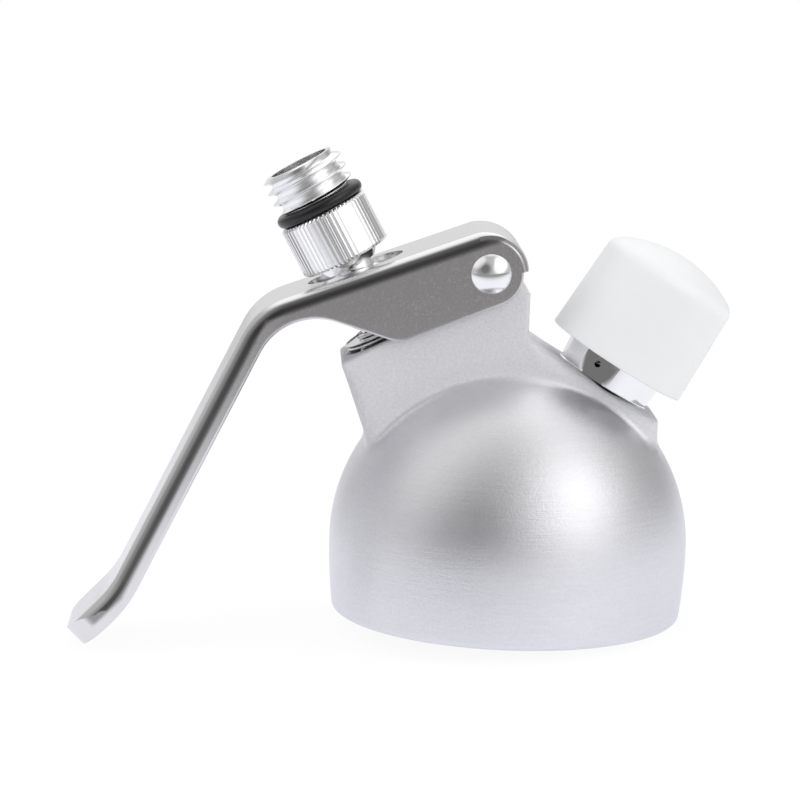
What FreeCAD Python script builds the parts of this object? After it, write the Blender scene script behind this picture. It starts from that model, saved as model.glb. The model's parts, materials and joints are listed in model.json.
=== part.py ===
import FreeCAD, Part
import math
import os
import Sketcher

# Head of a whipped cream dispenser: a cast dome that screws on a bottle, a squeeze lever on a rivet,
# a tilted valve with a screw-on nozzle adapter and a tilted charger port under a push-on cap.
# Millimetres.  +Z runs up the bottle's axis, z = 0 is the rim, the handle hangs towards -X.

os.makedirs("parts", exist_ok=True)
doc = FreeCAD.newDocument("dispenser_head")

SIZES = [
    ("dome_r", 35.0, "outer radius of the dome"),
    ("dome_z", 14.0, "height of the dome's centre"),
    ("rim_r", 34.2, "outer radius at the rim"),
    ("rim_round", 1.0, "rounding of the rim's outer edge"),
    ("skirt_curve", 107.0, "radius of the skirt's gentle curve"),
    ("dome_wall", 5.5, "wall of the dome"),
    ("throat_r", 25.5, "radius of the throat above the gasket seat"),
    ("seat_z", 17.0, "height of the gasket seat"),
    ("gasket_h", 2.8, "height of the bottle gasket"),
    ("bottle_r", 28.0, "crest radius of the bottle thread"),
    ("bottle_depth", 1.4, "depth of the bottle thread"),
    ("bottle_pitch", 3.0, "pitch of the bottle thread"),
    ("bottle_top", 13.0, "end of the bottle thread"),
    ("ridge_w", 20.0, "thickness of the ridge"),
    ("ridge_back", 1.8, "x of the ridge's upright back face"),
    ("ridge_end", 10.3, "ridge's right end beyond the port axis"),
    ("ridge_lean", 20.0, "lean of the ridge's left end, degrees"),
    ("ridge_round", 3.0, "rounding of the ridge's upright edges"),
    ("shoulder_drop", 2.7, "small shoulder behind the pivot, below it"),
    ("boss_r", 6.0, "radius of the pivot boss"),
    ("pivot_x", -6.0, "x of the pivot"),
    ("pivot_rise", 19.0, "height of the pivot above the dome's crown"),
    ("rivet_r", 2.5, "radius of the rivet's shank"),
    ("rivet_head_r", 3.85, "radius of the rivet's heads"),
    ("rivet_head_h", 1.7, "height of the rivet's heads"),
    ("run", 0.05, "radial running clearance of pin and stem"),
    ("valve_rise", 12.64, "ridge's valve face above the dome's ball"),
    ("valve_side", 2.406, "valve axis beside the dome's centre"),
    ("valve_tilt", 29.0, "tilt of the valve axis, degrees"),
    ("valve_reach", 10.06, "ridge face left of the valve axis"),
    ("port_rise", 1.49, "ridge's port face above the dome's ball"),
    ("port_side", 1.3, "port axis beside the dome's centre"),
    ("port_tilt", 30.5, "tilt of the port axis, degrees"),
    ("stem_r", 4.2, "radius of the valve stem"),
    ("stem_bore", 2.6, "radius of the stem's passage"),
    ("stem_top", 24.4, "top of the stem above the ridge face"),
    ("seat_rise", 1.6, "valve seat below the valve boss"),
    ("boss_depth", 20.0, "inner face of the valve boss"),
    ("pocket_r", 6.9, "radius of the spring pocket"),
    ("pocket_depth", 12.0, "depth of the spring pocket"),
    ("mouth_r", 8.8, "radius of the pocket's wide mouth"),
    ("mouth_depth", 5.2, "depth of the pocket's wide mouth"),
    ("bush_r", 6.0, "outer radius of the valve bush"),
    ("flange_r", 7.5, "radius of the stem's push flange"),
    ("flange_ball", 9.0, "radius of the push flange's rounded top"),
    ("flange_gap", 0.015, "gap between that rounding and the slot's edges"),
    ("washer_r", 8.3, "radius of the spring washer"),
    ("washer_t", 1.1, "thickness of the spring washer"),
    ("washer_h", 0.4, "gap from ridge face to the spring washer"),
    ("spring_r", 5.6, "mean radius of the valve spring"),
    ("spring_wire", 0.5, "radius of the spring wire"),
    ("spring_turns", 6.0, "turns of the valve spring"),
    ("collar_h", 16.7, "underside of the adapter's collar above the ridge face"),
    ("collar_r", 9.05, "radius of the knurled collar"),
    ("collar_len", 10.2, "length of the knurled collar"),
    ("ribs", 58.0, "number of ribs on the collar"),
    ("nozzle_r", 8.05, "crest radius of the nozzle thread"),
    ("nozzle_root", 6.6, "root radius of the nozzle thread"),
    ("nozzle_pitch", 2.25, "pitch of the nozzle thread"),
    ("nozzle_bore", 5.6, "radius of the nozzle bore"),
    ("adapter_len", 20.3, "collar underside to the adapter's rim"),
    ("ring_wire", 1.2, "section radius of the nozzle O-ring"),
    ("lever_w", 24.6, "width of the lever"),
    ("lever_t", 1.6, "wall of the lever"),
    ("lever_r", 8.1, "outer radius of the web round the pivot"),
    ("cheek_r", 6.2, "radius of the lever's cheeks round the pivot"),
    ("strip_in", 2.3, "how far the web's end strip is set in from the cheeks' outside"),
    ("web_slope", 20.6, "slope of the lever's web, degrees"),
    ("handle_slope", 64.3, "slope of the handle, degrees"),
    ("curl_slope", 46.0, "slope of the handle's curled end, degrees"),
    ("knee_x", -50.6, "x of the corner between web and handle"),
    ("knee_round", 14.0, "rounding of that corner"),
    ("curl_x", -77.2, "x of the corner where the end curls out"),
    ("curl_round", 20.0, "rounding of that corner"),
    ("tip_x", -86.2, "x of the handle's end"),
    ("cheek_slope", 22.5, "slope of the cheeks' lower edge, degrees"),
    ("belly_x", -23.0, "x of the cheeks' lowest corner"),
    ("belly_rise", 16.7, "rise of the cheeks' edge left of that corner, degrees"),
    ("handle_depth", 4.7, "depth of the handle's sides"),
    ("tip_depth", 4.9, "depth of the curled end's sides"),
    ("tip_round", 10.0, "rounding of the handle's end seen from above"),
    ("slot_w", 11.0, "width of the slot for the stem"),
    ("slot_low", 9.2, "slot reach below the valve axis"),
    ("slot_high", 10.2, "slot reach above the valve axis"),
    ("port_r", 10.15, "radius of the port's visible barrel"),
    ("port_crest", 9.95, "crest radius of the port thread"),
    ("port_pitch", 2.0, "pitch of the port thread"),
    ("port_top", 19.0, "height of the port above the ridge face"),
    ("port_flat", 9.41, "axis to wrench flat"),
    ("port_turn", 247.0, "direction of the front wrench flat, degrees"),
    ("port_bore", 5.2, "radius of the charger neck's bore"),
    ("spigot_r", 7.0, "radius of the port's threaded spigot"),
    ("spigot_end", 13.2, "end of the threaded spigot below the ridge face"),
    ("tail_end", 20.0, "end of the port's tail below the ridge face"),
    ("tail_r", 5.0, "radius of the port's tail"),
    ("port_boss", 9.0, "inner face of the port boss"),
    ("port_nut_w", 18.0, "port nut across its flats"),
    ("port_nut_h", 3.58, "height of the port nut"),
    ("barrel_h", 6.0, "height of the port's barrel"),
    ("needle_top", 12.0, "point of the piercing pin above the ridge face"),
    ("needle_r", 1.3, "radius of the piercing pin"),
    ("cap_r", 14.4, "outer radius of the cap"),
    ("cap_wall", 1.6, "wall of the cap"),
    ("cap_h", 4.9, "underside of the cap above the ridge face"),
    ("cap_len", 25.3, "height of the cap"),
    ("cap_crown", 32.0, "radius of the cap's crown"),
    ("cap_corner", 5.5, "rounding of the cap's shoulder"),
]


class Size:
    """A length or angle together with the spreadsheet formula that gives it."""

    def __init__(self, value, text):
        self.value = float(value)
        self.text = text

    def __add__(self, other):
        other = sized(other)
        return Size(self.value + other.value, "(%s + %s)" % (self.text, other.text))

    def __sub__(self, other):
        other = sized(other)
        return Size(self.value - other.value, "(%s - %s)" % (self.text, other.text))

    def __mul__(self, other):
        other = sized(other)
        return Size(self.value * other.value, "(%s * %s)" % (self.text, other.text))

    def __truediv__(self, other):
        other = sized(other)
        return Size(self.value / other.value, "(%s / %s)" % (self.text, other.text))

    def __radd__(self, other):
        return sized(other) + self

    def __rsub__(self, other):
        return sized(other) - self

    def __rmul__(self, other):
        return sized(other) * self

    def __neg__(self):
        return Size(-self.value, "(0 - %s)" % self.text)


def sized(item):
    """The item as a Size; plain numbers stand for themselves."""
    return item if isinstance(item, Size) else Size(item, "%.6g" % item)


def sin(angle):
    return Size(math.sin(math.radians(angle.value)), "sin(%s)" % angle.text)


def cos(angle):
    return Size(math.cos(math.radians(angle.value)), "cos(%s)" % angle.text)


def tan(angle):
    return Size(math.tan(math.radians(angle.value)), "tan(%s)" % angle.text)


def sqrt(item):
    return Size(math.sqrt(item.value), "sqrt(%s)" % item.text)


def write_sheet(rows):
    """The spreadsheet of driving sizes, and a lookup of them by name."""
    sheet = doc.addObject("Spreadsheet::Sheet", "dims")
    found = {}
    for row, (alias, value, meaning) in enumerate(rows, start=1):
        sheet.set("A%d" % row, alias)
        sheet.set("B%d" % row, "%.6g" % value)
        sheet.set("C%d" % row, meaning)
        sheet.setAlias("B%d" % row, alias)
    doc.recompute()
    for alias, value, meaning in rows:
        found[alias] = Size(float(sheet.get(alias)), "dims.%s" % alias)
    return found


S = write_sheet(SIZES)


class Frame:
    """A place in the head: a point of the XZ plane and a tilt about the Y axis."""

    def __init__(self, x, z, tilt):
        self.x = sized(x)
        self.z = sized(z)
        self.tilt = sized(tilt)

    def along(self, height):
        """The same frame moved up its own axis."""
        height = sized(height)
        return Frame(self.x + height * sin(self.tilt), self.z + height * cos(self.tilt), self.tilt)


def bind(item, path, size):
    item.setExpression(path, sized(size).text)


def put(item, frame, y=0):
    """Stand an object in a frame."""
    turn = FreeCAD.Rotation(FreeCAD.Vector(0, 1, 0), frame.tilt.value)
    spot = FreeCAD.Vector(frame.x.value, sized(y).value, frame.z.value)
    item.Placement = FreeCAD.Placement(spot, turn)
    bind(item, "Placement.Base.x", frame.x)
    bind(item, "Placement.Base.y", y)
    bind(item, "Placement.Base.z", frame.z)
    if frame.tilt.text != "0":
        bind(item, "Placement.Rotation.Angle", frame.tilt)
    return item


def on_dome(tilt, rise, side):
    """A frame on the ridge: so far above the dome's ball along its own axis, so far beside its centre."""
    reach = S["dome_r"] + rise
    return Frame(reach * sin(tilt) + side * cos(tilt), S["dome_z"] + reach * cos(tilt) - side * sin(tilt), tilt)


HOME = Frame(0, 0, 0)
VALVE = on_dome(-S["valve_tilt"], S["valve_rise"], -S["valve_side"])
PORT = on_dome(S["port_tilt"], S["port_rise"], -S["port_side"])
PIVOT_Z = S["dome_z"] + S["dome_r"] + S["pivot_rise"]
SEAT = S["boss_depth"] + S["seat_rise"]


class Corner:
    """A corner of an outline, with its rounding or the radius of the arc that leaves it."""

    def __init__(self, x, y, rounding=None, arc=None):
        self.x = sized(x)
        self.y = sized(y)
        self.rounding = None if rounding is None else sized(rounding)
        self.arc = None if arc is None else sized(arc)
        self.here = FreeCAD.Vector(self.x.value, self.y.value, 0)


def pin_point(sketch, geo, end, corner):
    """Tie a sketch point to its formulas."""
    spots = (("DistanceX", corner.x), ("DistanceY", corner.y))
    for kind, size in spots:
        number = sketch.addConstraint(Sketcher.Constraint(kind, -1, 1, geo, end, size.value))
        sketch.setExpression("Constraints[%d]" % number, size.text)


def pin_radius(sketch, geo, size):
    number = sketch.addConstraint(Sketcher.Constraint("Radius", geo, size.value))
    sketch.setExpression("Constraints[%d]" % number, size.text)


def arc_between(start, stop, radius):
    """The short arc from start to stop; a positive radius has its centre on the left."""
    chord = stop - start
    half = chord.Length / 2
    reach = math.sqrt(max(radius * radius - half * half, 0.0))
    side = FreeCAD.Vector(-chord.y, chord.x, 0)
    side.normalize()
    sign = 1 if radius > 0 else -1
    centre = start + chord * 0.5 + side * (reach * sign)
    middle = centre - side * (abs(radius) * sign)
    return Part.Arc(start, middle, stop) if radius > 0 else Part.Arc(stop, middle, start)


def draw_outline(sketch, corners):
    """A closed outline of lines and arcs, every corner tied to the spreadsheet."""
    count = len(corners)
    starts = {}
    stops = {}
    for index, corner in enumerate(corners):
        if corner.rounding is None:
            starts[index] = corner.here
            stops[index] = corner.here
            continue
        before = corners[index - 1].here - corner.here
        after = corners[(index + 1) % count].here - corner.here
        half = before.getAngle(after) / 2
        reach = corner.rounding.value / math.tan(half)
        before.normalize()
        after.normalize()
        stops[index] = corner.here + before * reach
        starts[index] = corner.here + after * reach
    sides = []
    for index, corner in enumerate(corners):
        follow = (index + 1) % count
        if corner.arc is None:
            shape = Part.LineSegment(starts[index], stops[follow])
            flip = False
        else:
            shape = arc_between(starts[index], stops[follow], corner.arc.value)
            flip = corner.arc.value < 0
        sides.append((sketch.addGeometry(shape), flip))
    for index, corner in enumerate(corners):
        geo, flip = sides[index]
        last, last_flip = sides[index - 1]
        first_end = 2 if flip else 1
        last_end = 1 if last_flip else 2
        if corner.rounding is None:
            sketch.addConstraint(Sketcher.Constraint("Coincident", last, last_end, geo, first_end))
            pin_point(sketch, geo, first_end, corner)
        else:
            round_corner(sketch, corner, last, geo, stops[index], starts[index])
        if corner.arc is not None:
            pin_radius(sketch, geo, Size(abs(corner.arc.value), "abs(%s)" % corner.arc.text))


def round_corner(sketch, corner, last, geo, stop, start):
    """A tangent arc in a corner whose sharp point is tied to the spreadsheet."""
    point = sketch.addGeometry(Part.Point(corner.here), True)
    pin_point(sketch, point, 1, corner)
    sketch.addConstraint(Sketcher.Constraint("PointOnObject", point, 1, last))
    sketch.addConstraint(Sketcher.Constraint("PointOnObject", point, 1, geo))
    inward = (stop - corner.here) + (start - corner.here)
    inward.normalize()
    leg = stop - corner.here
    half = leg.getAngle(inward)
    centre = corner.here + inward * (corner.rounding.value / math.sin(half))
    middle = centre - inward * corner.rounding.value
    turn = (middle - stop).cross(start - middle).z
    ends = (1, 2) if turn > 0 else (2, 1)
    bend = Part.Arc(stop, middle, start) if turn > 0 else Part.Arc(start, middle, stop)
    arc = sketch.addGeometry(bend)
    sketch.addConstraint(Sketcher.Constraint("Tangent", last, 2, arc, ends[0]))
    sketch.addConstraint(Sketcher.Constraint("Tangent", geo, 1, arc, ends[1]))
    pin_radius(sketch, arc, corner.rounding)


def origin_plane(body, role):
    return [item for item in body.Origin.OriginFeatures if item.Role == role][0]


def new_body(label, frame=HOME, y=0):
    body = doc.addObject("PartDesign::Body", label)
    body.Label = label
    put(body, frame, y)
    return body


def new_sketch(body, name, corners, role="XZ_Plane"):
    sketch = body.newObject("Sketcher::SketchObject", name)
    sketch.AttachmentSupport = [(origin_plane(body, role), "")]
    sketch.MapMode = "FlatFace"
    draw_outline(sketch, corners)
    return sketch


def turn_in(body, name, corners):
    """Material turned about the body's own Z axis."""
    sketch = new_sketch(body, name + "_outline", corners)
    feature = body.newObject("PartDesign::Revolution", name)
    feature.Profile = sketch
    feature.ReferenceAxis = (sketch, ["V_Axis"])
    feature.Angle = 360
    return feature


def turned(label, corners, frame=HOME):
    body = new_body(label, frame)
    turn_in(body, label + "_turn", corners)
    return body


def pad_in(body, name, corners, length, role="XZ_Plane"):
    """Material of an outline, as thick to both sides of the plane."""
    sketch = new_sketch(body, name + "_outline", corners, role)
    feature = body.newObject("PartDesign::Pad", name)
    feature.Profile = sketch
    feature.SideType = "Symmetric"
    feature.Length = sized(length).value
    bind(feature, "Length", length)
    return feature


def plate(label, corners, length, frame=HOME, role="XZ_Plane", y=0):
    body = new_body(label, frame, y)
    pad_in(body, label + "_pad", corners, length, role)
    return body


def rod(label, radius, length, frame, y=0):
    """A plain cylinder along the frame's axis."""
    item = doc.addObject("Part::Cylinder", label)
    item.Label = label
    bind(item, "Radius", radius)
    bind(item, "Height", length)
    return put(item, frame, y)


def cross_rod(label, radius, length, x, z):
    """A plain cylinder along Y, as long to both sides."""
    item = doc.addObject("Part::Cylinder", label)
    item.Label = label
    length = sized(length)
    bind(item, "Radius", radius)
    bind(item, "Height", length)
    turn = FreeCAD.Rotation(FreeCAD.Vector(1, 0, 0), -90)
    spot = FreeCAD.Vector(sized(x).value, -length.value / 2, sized(z).value)
    item.Placement = FreeCAD.Placement(spot, turn)
    bind(item, "Placement.Base.x", x)
    bind(item, "Placement.Base.y", -length / 2)
    bind(item, "Placement.Base.z", z)
    return item


def ring(label, middle, wire, frame):
    """A round-section ring."""
    item = doc.addObject("Part::Torus", label)
    item.Label = label
    bind(item, "Radius1", middle)
    bind(item, "Radius2", wire)
    return put(item, frame)


def cut(label, base, tool):
    item = doc.addObject("Part::Cut", label)
    item.Label = label
    item.Base = base
    item.Tool = tool
    return item


def fuse(label, parts):
    item = doc.addObject("Part::MultiFuse", label)
    item.Label = label
    item.Shapes = parts
    return item


def spot(frame, x, y, z):
    """A point given in a frame, as the three sizes of its place in the head."""
    x, y, z = sized(x), sized(y), sized(z)
    world_x = frame.x + x * cos(frame.tilt) + z * sin(frame.tilt)
    world_z = frame.z - x * sin(frame.tilt) + z * cos(frame.tilt)
    return world_x, y, world_z


def place(item, frame, turn, x, y, z):
    """Stand an object at a point of a frame, turned within it."""
    across = FreeCAD.Rotation(FreeCAD.Vector(0, 1, 0), frame.tilt.value)
    where = spot(frame, x, y, z)
    base = FreeCAD.Vector(*[size.value for size in where])
    item.Placement = FreeCAD.Placement(base, across.multiply(turn))
    for name, size in zip("xyz", where):
        bind(item, "Placement.Base." + name, size)
    return item


def coil(label, pitch, height, corners, frame, start=0):
    """A closed outline, drawn in X (out) and Y (up), carried round the frame's axis as a helix."""
    body = new_body(label, frame)
    if start:
        body.setExpression("Placement.Rotation.Angle", None)
        place(body, frame, FreeCAD.Rotation(FreeCAD.Vector(0, 0, 1), start), 0, 0, 0)
    sketch = new_sketch(body, label + "_section", corners)
    doc.recompute()
    feature = body.newObject("PartDesign::AdditiveHelix", label + "_turns")
    feature.Profile = sketch
    feature.ReferenceAxis = (sketch, ["V_Axis"])
    feature.Mode = "pitch-height-angle"
    bind(feature, "Pitch", pitch)
    bind(feature, "Height", height)
    return body


def groove_teeth(crest, root, mouth, floor, over):
    """The outline of a thread groove; over is how far it passes the crest."""
    outward = 1 if root.value > crest.value else -1
    flare = over * (mouth - floor) / (root - crest) * outward
    edge = crest - over * outward
    half_mouth = mouth / 2 + flare / 2
    return [
        Corner(edge, -half_mouth),
        Corner(root, -floor / 2),
        Corner(root, floor / 2),
        Corner(edge, half_mouth),
    ]


def edges_where(shape, test):
    """Numbers of the edges whose middle and ends pass a test."""
    found = []
    for number, edge in enumerate(shape.Edges, start=1):
        if edge.Degenerated:
            continue
        middle = edge.valueAt((edge.FirstParameter + edge.LastParameter) / 2)
        points = [middle] + [vertex.Point for vertex in edge.Vertexes]
        if all(test(point) for point in points):
            found.append(number)
    return found


def rounded(label, base, radius, test):
    """The base with the edges that pass the test rounded."""
    doc.recompute()
    item = doc.addObject("Part::Fillet", label)
    item.Label = label
    item.Base = base
    radius = sized(radius).value
    item.Edges = [(number, radius, radius) for number in edges_where(base.Shape, test)]
    return item


# --- head: dome, ridge, cavity ------------------------------------------------------------------

def dome_outline():
    """The outside of the dome, turned about the bottle's axis."""
    base = S["rim_r"] - S["rim_round"]
    return [
        Corner(0, 0),
        Corner(base, 0),
        Corner(S["rim_r"], S["rim_round"], arc=S["skirt_curve"]),
        Corner(S["dome_r"], S["dome_z"], arc=S["dome_r"]),
        Corner(0, S["dome_z"] + S["dome_r"]),
    ]


def ridge_outline():
    """The ridge seen from the front: valve face, pivot boss, port face."""
    face_x = VALVE.x - S["valve_reach"] * cos(S["valve_tilt"])
    face_z = VALVE.z - S["valve_reach"] * sin(S["valve_tilt"])
    foot_z = S["dome_z"] + 10
    foot_x = face_x + (face_z - foot_z) * tan(S["ridge_lean"])
    boss_left = S["pivot_x"] - S["boss_r"]
    drop = S["shoulder_drop"]
    shoulder_z = PIVOT_Z - drop
    boss_right = S["pivot_x"] + sqrt(S["boss_r"] * S["boss_r"] - drop * drop)
    end_x = PORT.x + S["ridge_end"]
    end_z = PORT.z - S["ridge_end"] * tan(S["port_tilt"])
    back_z = PORT.z + (PORT.x - S["ridge_back"]) * tan(S["port_tilt"])
    neck_z = VALVE.z + (boss_left - VALVE.x) * tan(S["valve_tilt"])
    return [
        Corner(foot_x, foot_z),
        Corner(end_x - 4, foot_z),
        Corner(end_x, foot_z + 4),
        Corner(end_x, end_z),
        Corner(S["ridge_back"], back_z, rounding=S["ridge_round"]),
        Corner(S["ridge_back"], shoulder_z, rounding=0.5),
        Corner(boss_right, shoulder_z, arc=S["boss_r"]),
        Corner(S["pivot_x"], PIVOT_Z + S["boss_r"], arc=S["boss_r"]),
        Corner(boss_left, PIVOT_Z),
        Corner(boss_left, neck_z, rounding=S["ridge_round"]),
        Corner(face_x, face_z),
    ]


def cavity_outline():
    """The hollow under the dome: thread bore, relief, throat and inner dome."""
    inner = S["dome_r"] - S["dome_wall"]
    relief = S["bottle_r"] + S["bottle_depth"] + 0.5
    throat_top = S["dome_z"] + sqrt(inner * inner - S["throat_r"] * S["throat_r"])
    return [
        Corner(0, -2),
        Corner(S["bottle_r"], -2),
        Corner(S["bottle_r"], S["bottle_top"]),
        Corner(relief, S["bottle_top"] + 0.8),
        Corner(relief, S["seat_z"]),
        Corner(S["throat_r"], S["seat_z"]),
        Corner(S["throat_r"], throat_top, arc=inner),
        Corner(0, S["dome_z"] + inner),
    ]


BUSH_LIP = sized(1.4)


def valve_bore_outline():
    """The stepped bore of the valve with the spot face round the bush's lip."""
    guide = S["stem_r"] + 0.5
    shelf = S["pocket_depth"] + 1.2
    return [
        Corner(0, 9),
        Corner(S["mouth_r"], 9),
        Corner(S["mouth_r"], -S["mouth_depth"]),
        Corner(S["pocket_r"], -S["mouth_depth"]),
        Corner(S["pocket_r"], -S["pocket_depth"]),
        Corner(guide, -S["pocket_depth"]),
        Corner(guide, -shelf),
        Corner(S["bush_r"], -shelf),
        Corner(S["bush_r"], -S["boss_depth"]),
        Corner(S["bush_r"] + BUSH_LIP + 0.6, -S["boss_depth"]),
        Corner(S["bush_r"] + BUSH_LIP + 0.6, -S["boss_depth"] - 6),
        Corner(0, -S["boss_depth"] - 6),
    ]


def port_bore_outline():
    """The bore of the port's spigot, with its O-ring's recess and the nut's spot face."""
    hole = S["spigot_r"] + 0.05
    recess = S["spigot_r"] + 1.7
    spot_r = S["port_nut_w"] / (2 * cos(sized(30))) + 0.4
    end = S["port_boss"] + 7
    return [
        Corner(0, 2),
        Corner(recess, 2),
        Corner(recess, -1.5),
        Corner(hole, -1.5),
        Corner(hole, -S["port_boss"]),
        Corner(spot_r, -S["port_boss"]),
        Corner(spot_r, -end),
        Corner(0, -end),
    ]


shell = turned("dome_shell", dome_outline())
ridge = plate("ridge_slab", ridge_outline(), S["ridge_w"])
half_ridge = S["ridge_w"].value / 2
face_left = (VALVE.x - S["valve_reach"] * cos(S["valve_tilt"])).value
face_low = (VALVE.z - S["valve_reach"] * sin(S["valve_tilt"])).value


def upright_edge(point):
    """An upright edge at one of the ridge's two ends."""
    if abs(abs(point.y) - half_ridge) > 0.01:
        return False
    lean = math.tan(S["ridge_lean"].value * math.pi / 180)
    left_x = face_left + (face_low - point.z) * lean
    left = abs(point.x - left_x) < 0.01
    right = abs(point.x - (PORT.x + S["ridge_end"]).value) < 0.01
    return left or right

ridge_soft = rounded("ridge_soft", ridge, S["ridge_round"], upright_edge)


def inner_bosses():
    """The boss inside the dome round the valve, and the one round the port's spigot."""
    valve = rod("valve_boss", S["bush_r"] + 3, 10, VALVE.along(-S["boss_depth"]))
    port = rod("port_boss_rod", S["spigot_r"] + 3, 6, PORT.along(-S["port_boss"]))
    return [valve, port]


outside = fuse("outside", [shell, ridge_soft])
cavity = cut("cavity", turned("cavity_full", cavity_outline()), fuse("bosses", inner_bosses()))
hollow = cut("hollow", outside, cavity)
valve_bored = cut("valve_bored", hollow, turned("valve_bore", valve_bore_outline(), VALVE))
port_bored = cut("port_bored", valve_bored, turned("port_hole", port_bore_outline(), PORT))
pivot_hole = cross_rod("pivot_hole", S["rivet_r"] + S["run"], S["ridge_w"] + 4, S["pivot_x"], PIVOT_Z)
pivot_bored = cut("pivot_bored", port_bored, pivot_hole)
bottle_teeth = coil(
    "bottle_groove",
    S["bottle_pitch"],
    S["bottle_top"] + 3.6,
    groove_teeth(S["bottle_r"], S["bottle_r"] + S["bottle_depth"], sized(1.35), sized(0.5), sized(0.4)),
    HOME.along(-3),
)
head_body = cut("head_body", pivot_bored, bottle_teeth)


def tube(label, inner, outer, low, high, frame, soft=0.0):
    """A plain ring between two radii and two heights, its outer edges chamfered by soft."""
    inner, outer, low, high = sized(inner), sized(outer), sized(low), sized(high)
    corners = [Corner(inner, low)]
    if soft:
        corners += [Corner(outer - soft, low), Corner(outer, low + soft)]
        corners += [Corner(outer, high - soft), Corner(outer - soft, high)]
    else:
        corners += [Corner(outer, low), Corner(outer, high)]
    corners += [Corner(inner, high)]
    return turned(label, corners, frame)


relief_r = S["bottle_r"] + S["bottle_depth"] + 0.5
gasket_low = S["seat_z"] - S["gasket_h"]
bottle_gasket = tube("bottle_gasket", S["throat_r"] + 0.4, relief_r - 0.2, gasket_low, S["seat_z"], HOME, 0.4)


# --- valve ---------------------------------------------------------------------------------------

def bush_outline():
    """The brass bush that guides the stem and carries the valve seat."""
    bore = S["stem_r"] + S["run"]
    shelf = S["pocket_depth"] + 1.2
    return [
        Corner(bore, -SEAT),
        Corner(bore + 0.9, -SEAT),
        Corner(bore + 1.3, -S["boss_depth"] - 1.2),
        Corner(S["bush_r"] + BUSH_LIP, -S["boss_depth"] - 1.2),
        Corner(S["bush_r"] + BUSH_LIP, -S["boss_depth"]),
        Corner(S["bush_r"], -S["boss_depth"]),
        Corner(S["bush_r"], -shelf),
        Corner(bore, -shelf),
    ]


def flange_centre():
    """Height of the push flange's ball: its top rolls under the web, on the slot's two edges."""
    half = S["slot_w"] / 2
    ball = S["flange_ball"]
    web = S["lever_r"] - S["lever_t"] - S["flange_gap"] - sqrt(ball * ball - half * half)
    over = cos(S["web_slope"]) * (VALVE.z - PIVOT_Z) - sin(S["web_slope"]) * (VALVE.x - S["pivot_x"])
    return (web - over) / cos(S["valve_tilt"] - S["web_slope"])


def stem_outline():
    """The hollow stem: nozzle end, push flange, clip groove, ring groove, seal spigot."""
    r = S["stem_r"]
    ball = S["flange_ball"]
    ball_z = flange_centre()
    neck_z = ball_z + sqrt(ball * ball - r * r)
    edge_z = ball_z + sqrt(ball * ball - S["flange_r"] * S["flange_r"])
    clip = S["washer_h"] + S["washer_t"]
    groove = SEAT - 6.4
    floor = SEAT - 0.9
    return [
        Corner(0, -SEAT - 6),
        Corner(1.8, -SEAT - 6),
        Corner(2.2, -SEAT - 5.6),
        Corner(2.2, -SEAT),
        Corner(r, -SEAT),
        Corner(r, -groove - 2),
        Corner(r - 1.1, -groove - 2),
        Corner(r - 1.1, -groove),
        Corner(r, -groove),
        Corner(r, clip),
        Corner(r - 0.6, clip),
        Corner(r - 0.6, clip + 0.7),
        Corner(r, clip + 0.7),
        Corner(r, edge_z - 1),
        Corner(S["flange_r"], edge_z - 1),
        Corner(S["flange_r"], edge_z, arc=ball),
        Corner(r, neck_z),
        Corner(r, S["stem_top"] - 0.3),
        Corner(r - 0.3, S["stem_top"]),
        Corner(S["stem_bore"], S["stem_top"]),
        Corner(S["stem_bore"], -floor),
        Corner(0, -floor),
    ]


def spoke(label, radius, start, length, frame, height, angle):
    """A round hole's tool that points away from the frame's axis."""
    item = doc.addObject("Part::Cylinder", label)
    item.Label = label
    angle = sized(angle)
    bind(item, "Radius", radius)
    bind(item, "Height", length)
    lay = FreeCAD.Rotation(FreeCAD.Vector(0, 1, 0), 90)
    turn = FreeCAD.Rotation(FreeCAD.Vector(0, 0, 1), angle.value).multiply(lay)
    return place(item, frame, turn, sized(start) * cos(angle), sized(start) * sin(angle), height)


def block(label, near, width, low, high, frame, angle):
    """A box beyond a flat: near is the flat's distance from the frame's axis."""
    item = doc.addObject("Part::Box", label)
    item.Label = label
    angle, near, half = sized(angle), sized(near), sized(width) / 2
    bind(item, "Length", 8)
    bind(item, "Width", width)
    bind(item, "Height", sized(high) - low)
    turn = FreeCAD.Rotation(FreeCAD.Vector(0, 0, 1), angle.value)
    x = near * cos(angle) + half * sin(angle)
    y = near * sin(angle) - half * cos(angle)
    return place(item, frame, turn, x, y, low)


def hexagon(label, flats, low, height, frame):
    """A hexagonal prism of a given width across flats."""
    item = doc.addObject("Part::Prism", label)
    item.Label = label
    item.Polygon = 6
    bind(item, "Circumradius", sized(flats) / (2 * cos(sized(30))))
    bind(item, "Height", height)
    return place(item, frame, FreeCAD.Rotation(), 0, 0, low)


def spring(label, radius, wire, turns, low, high, frame):
    """A round-wire compression spring between two heights."""
    height = sized(high) - low - 2 * wire
    section = [
        Corner(radius + wire, 0, arc=wire),
        Corner(radius, wire, arc=wire),
        Corner(radius - wire, 0, arc=wire),
        Corner(radius, -wire, arc=wire),
    ]
    return coil(label, height / turns, height, section, frame.along(low + wire))


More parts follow.
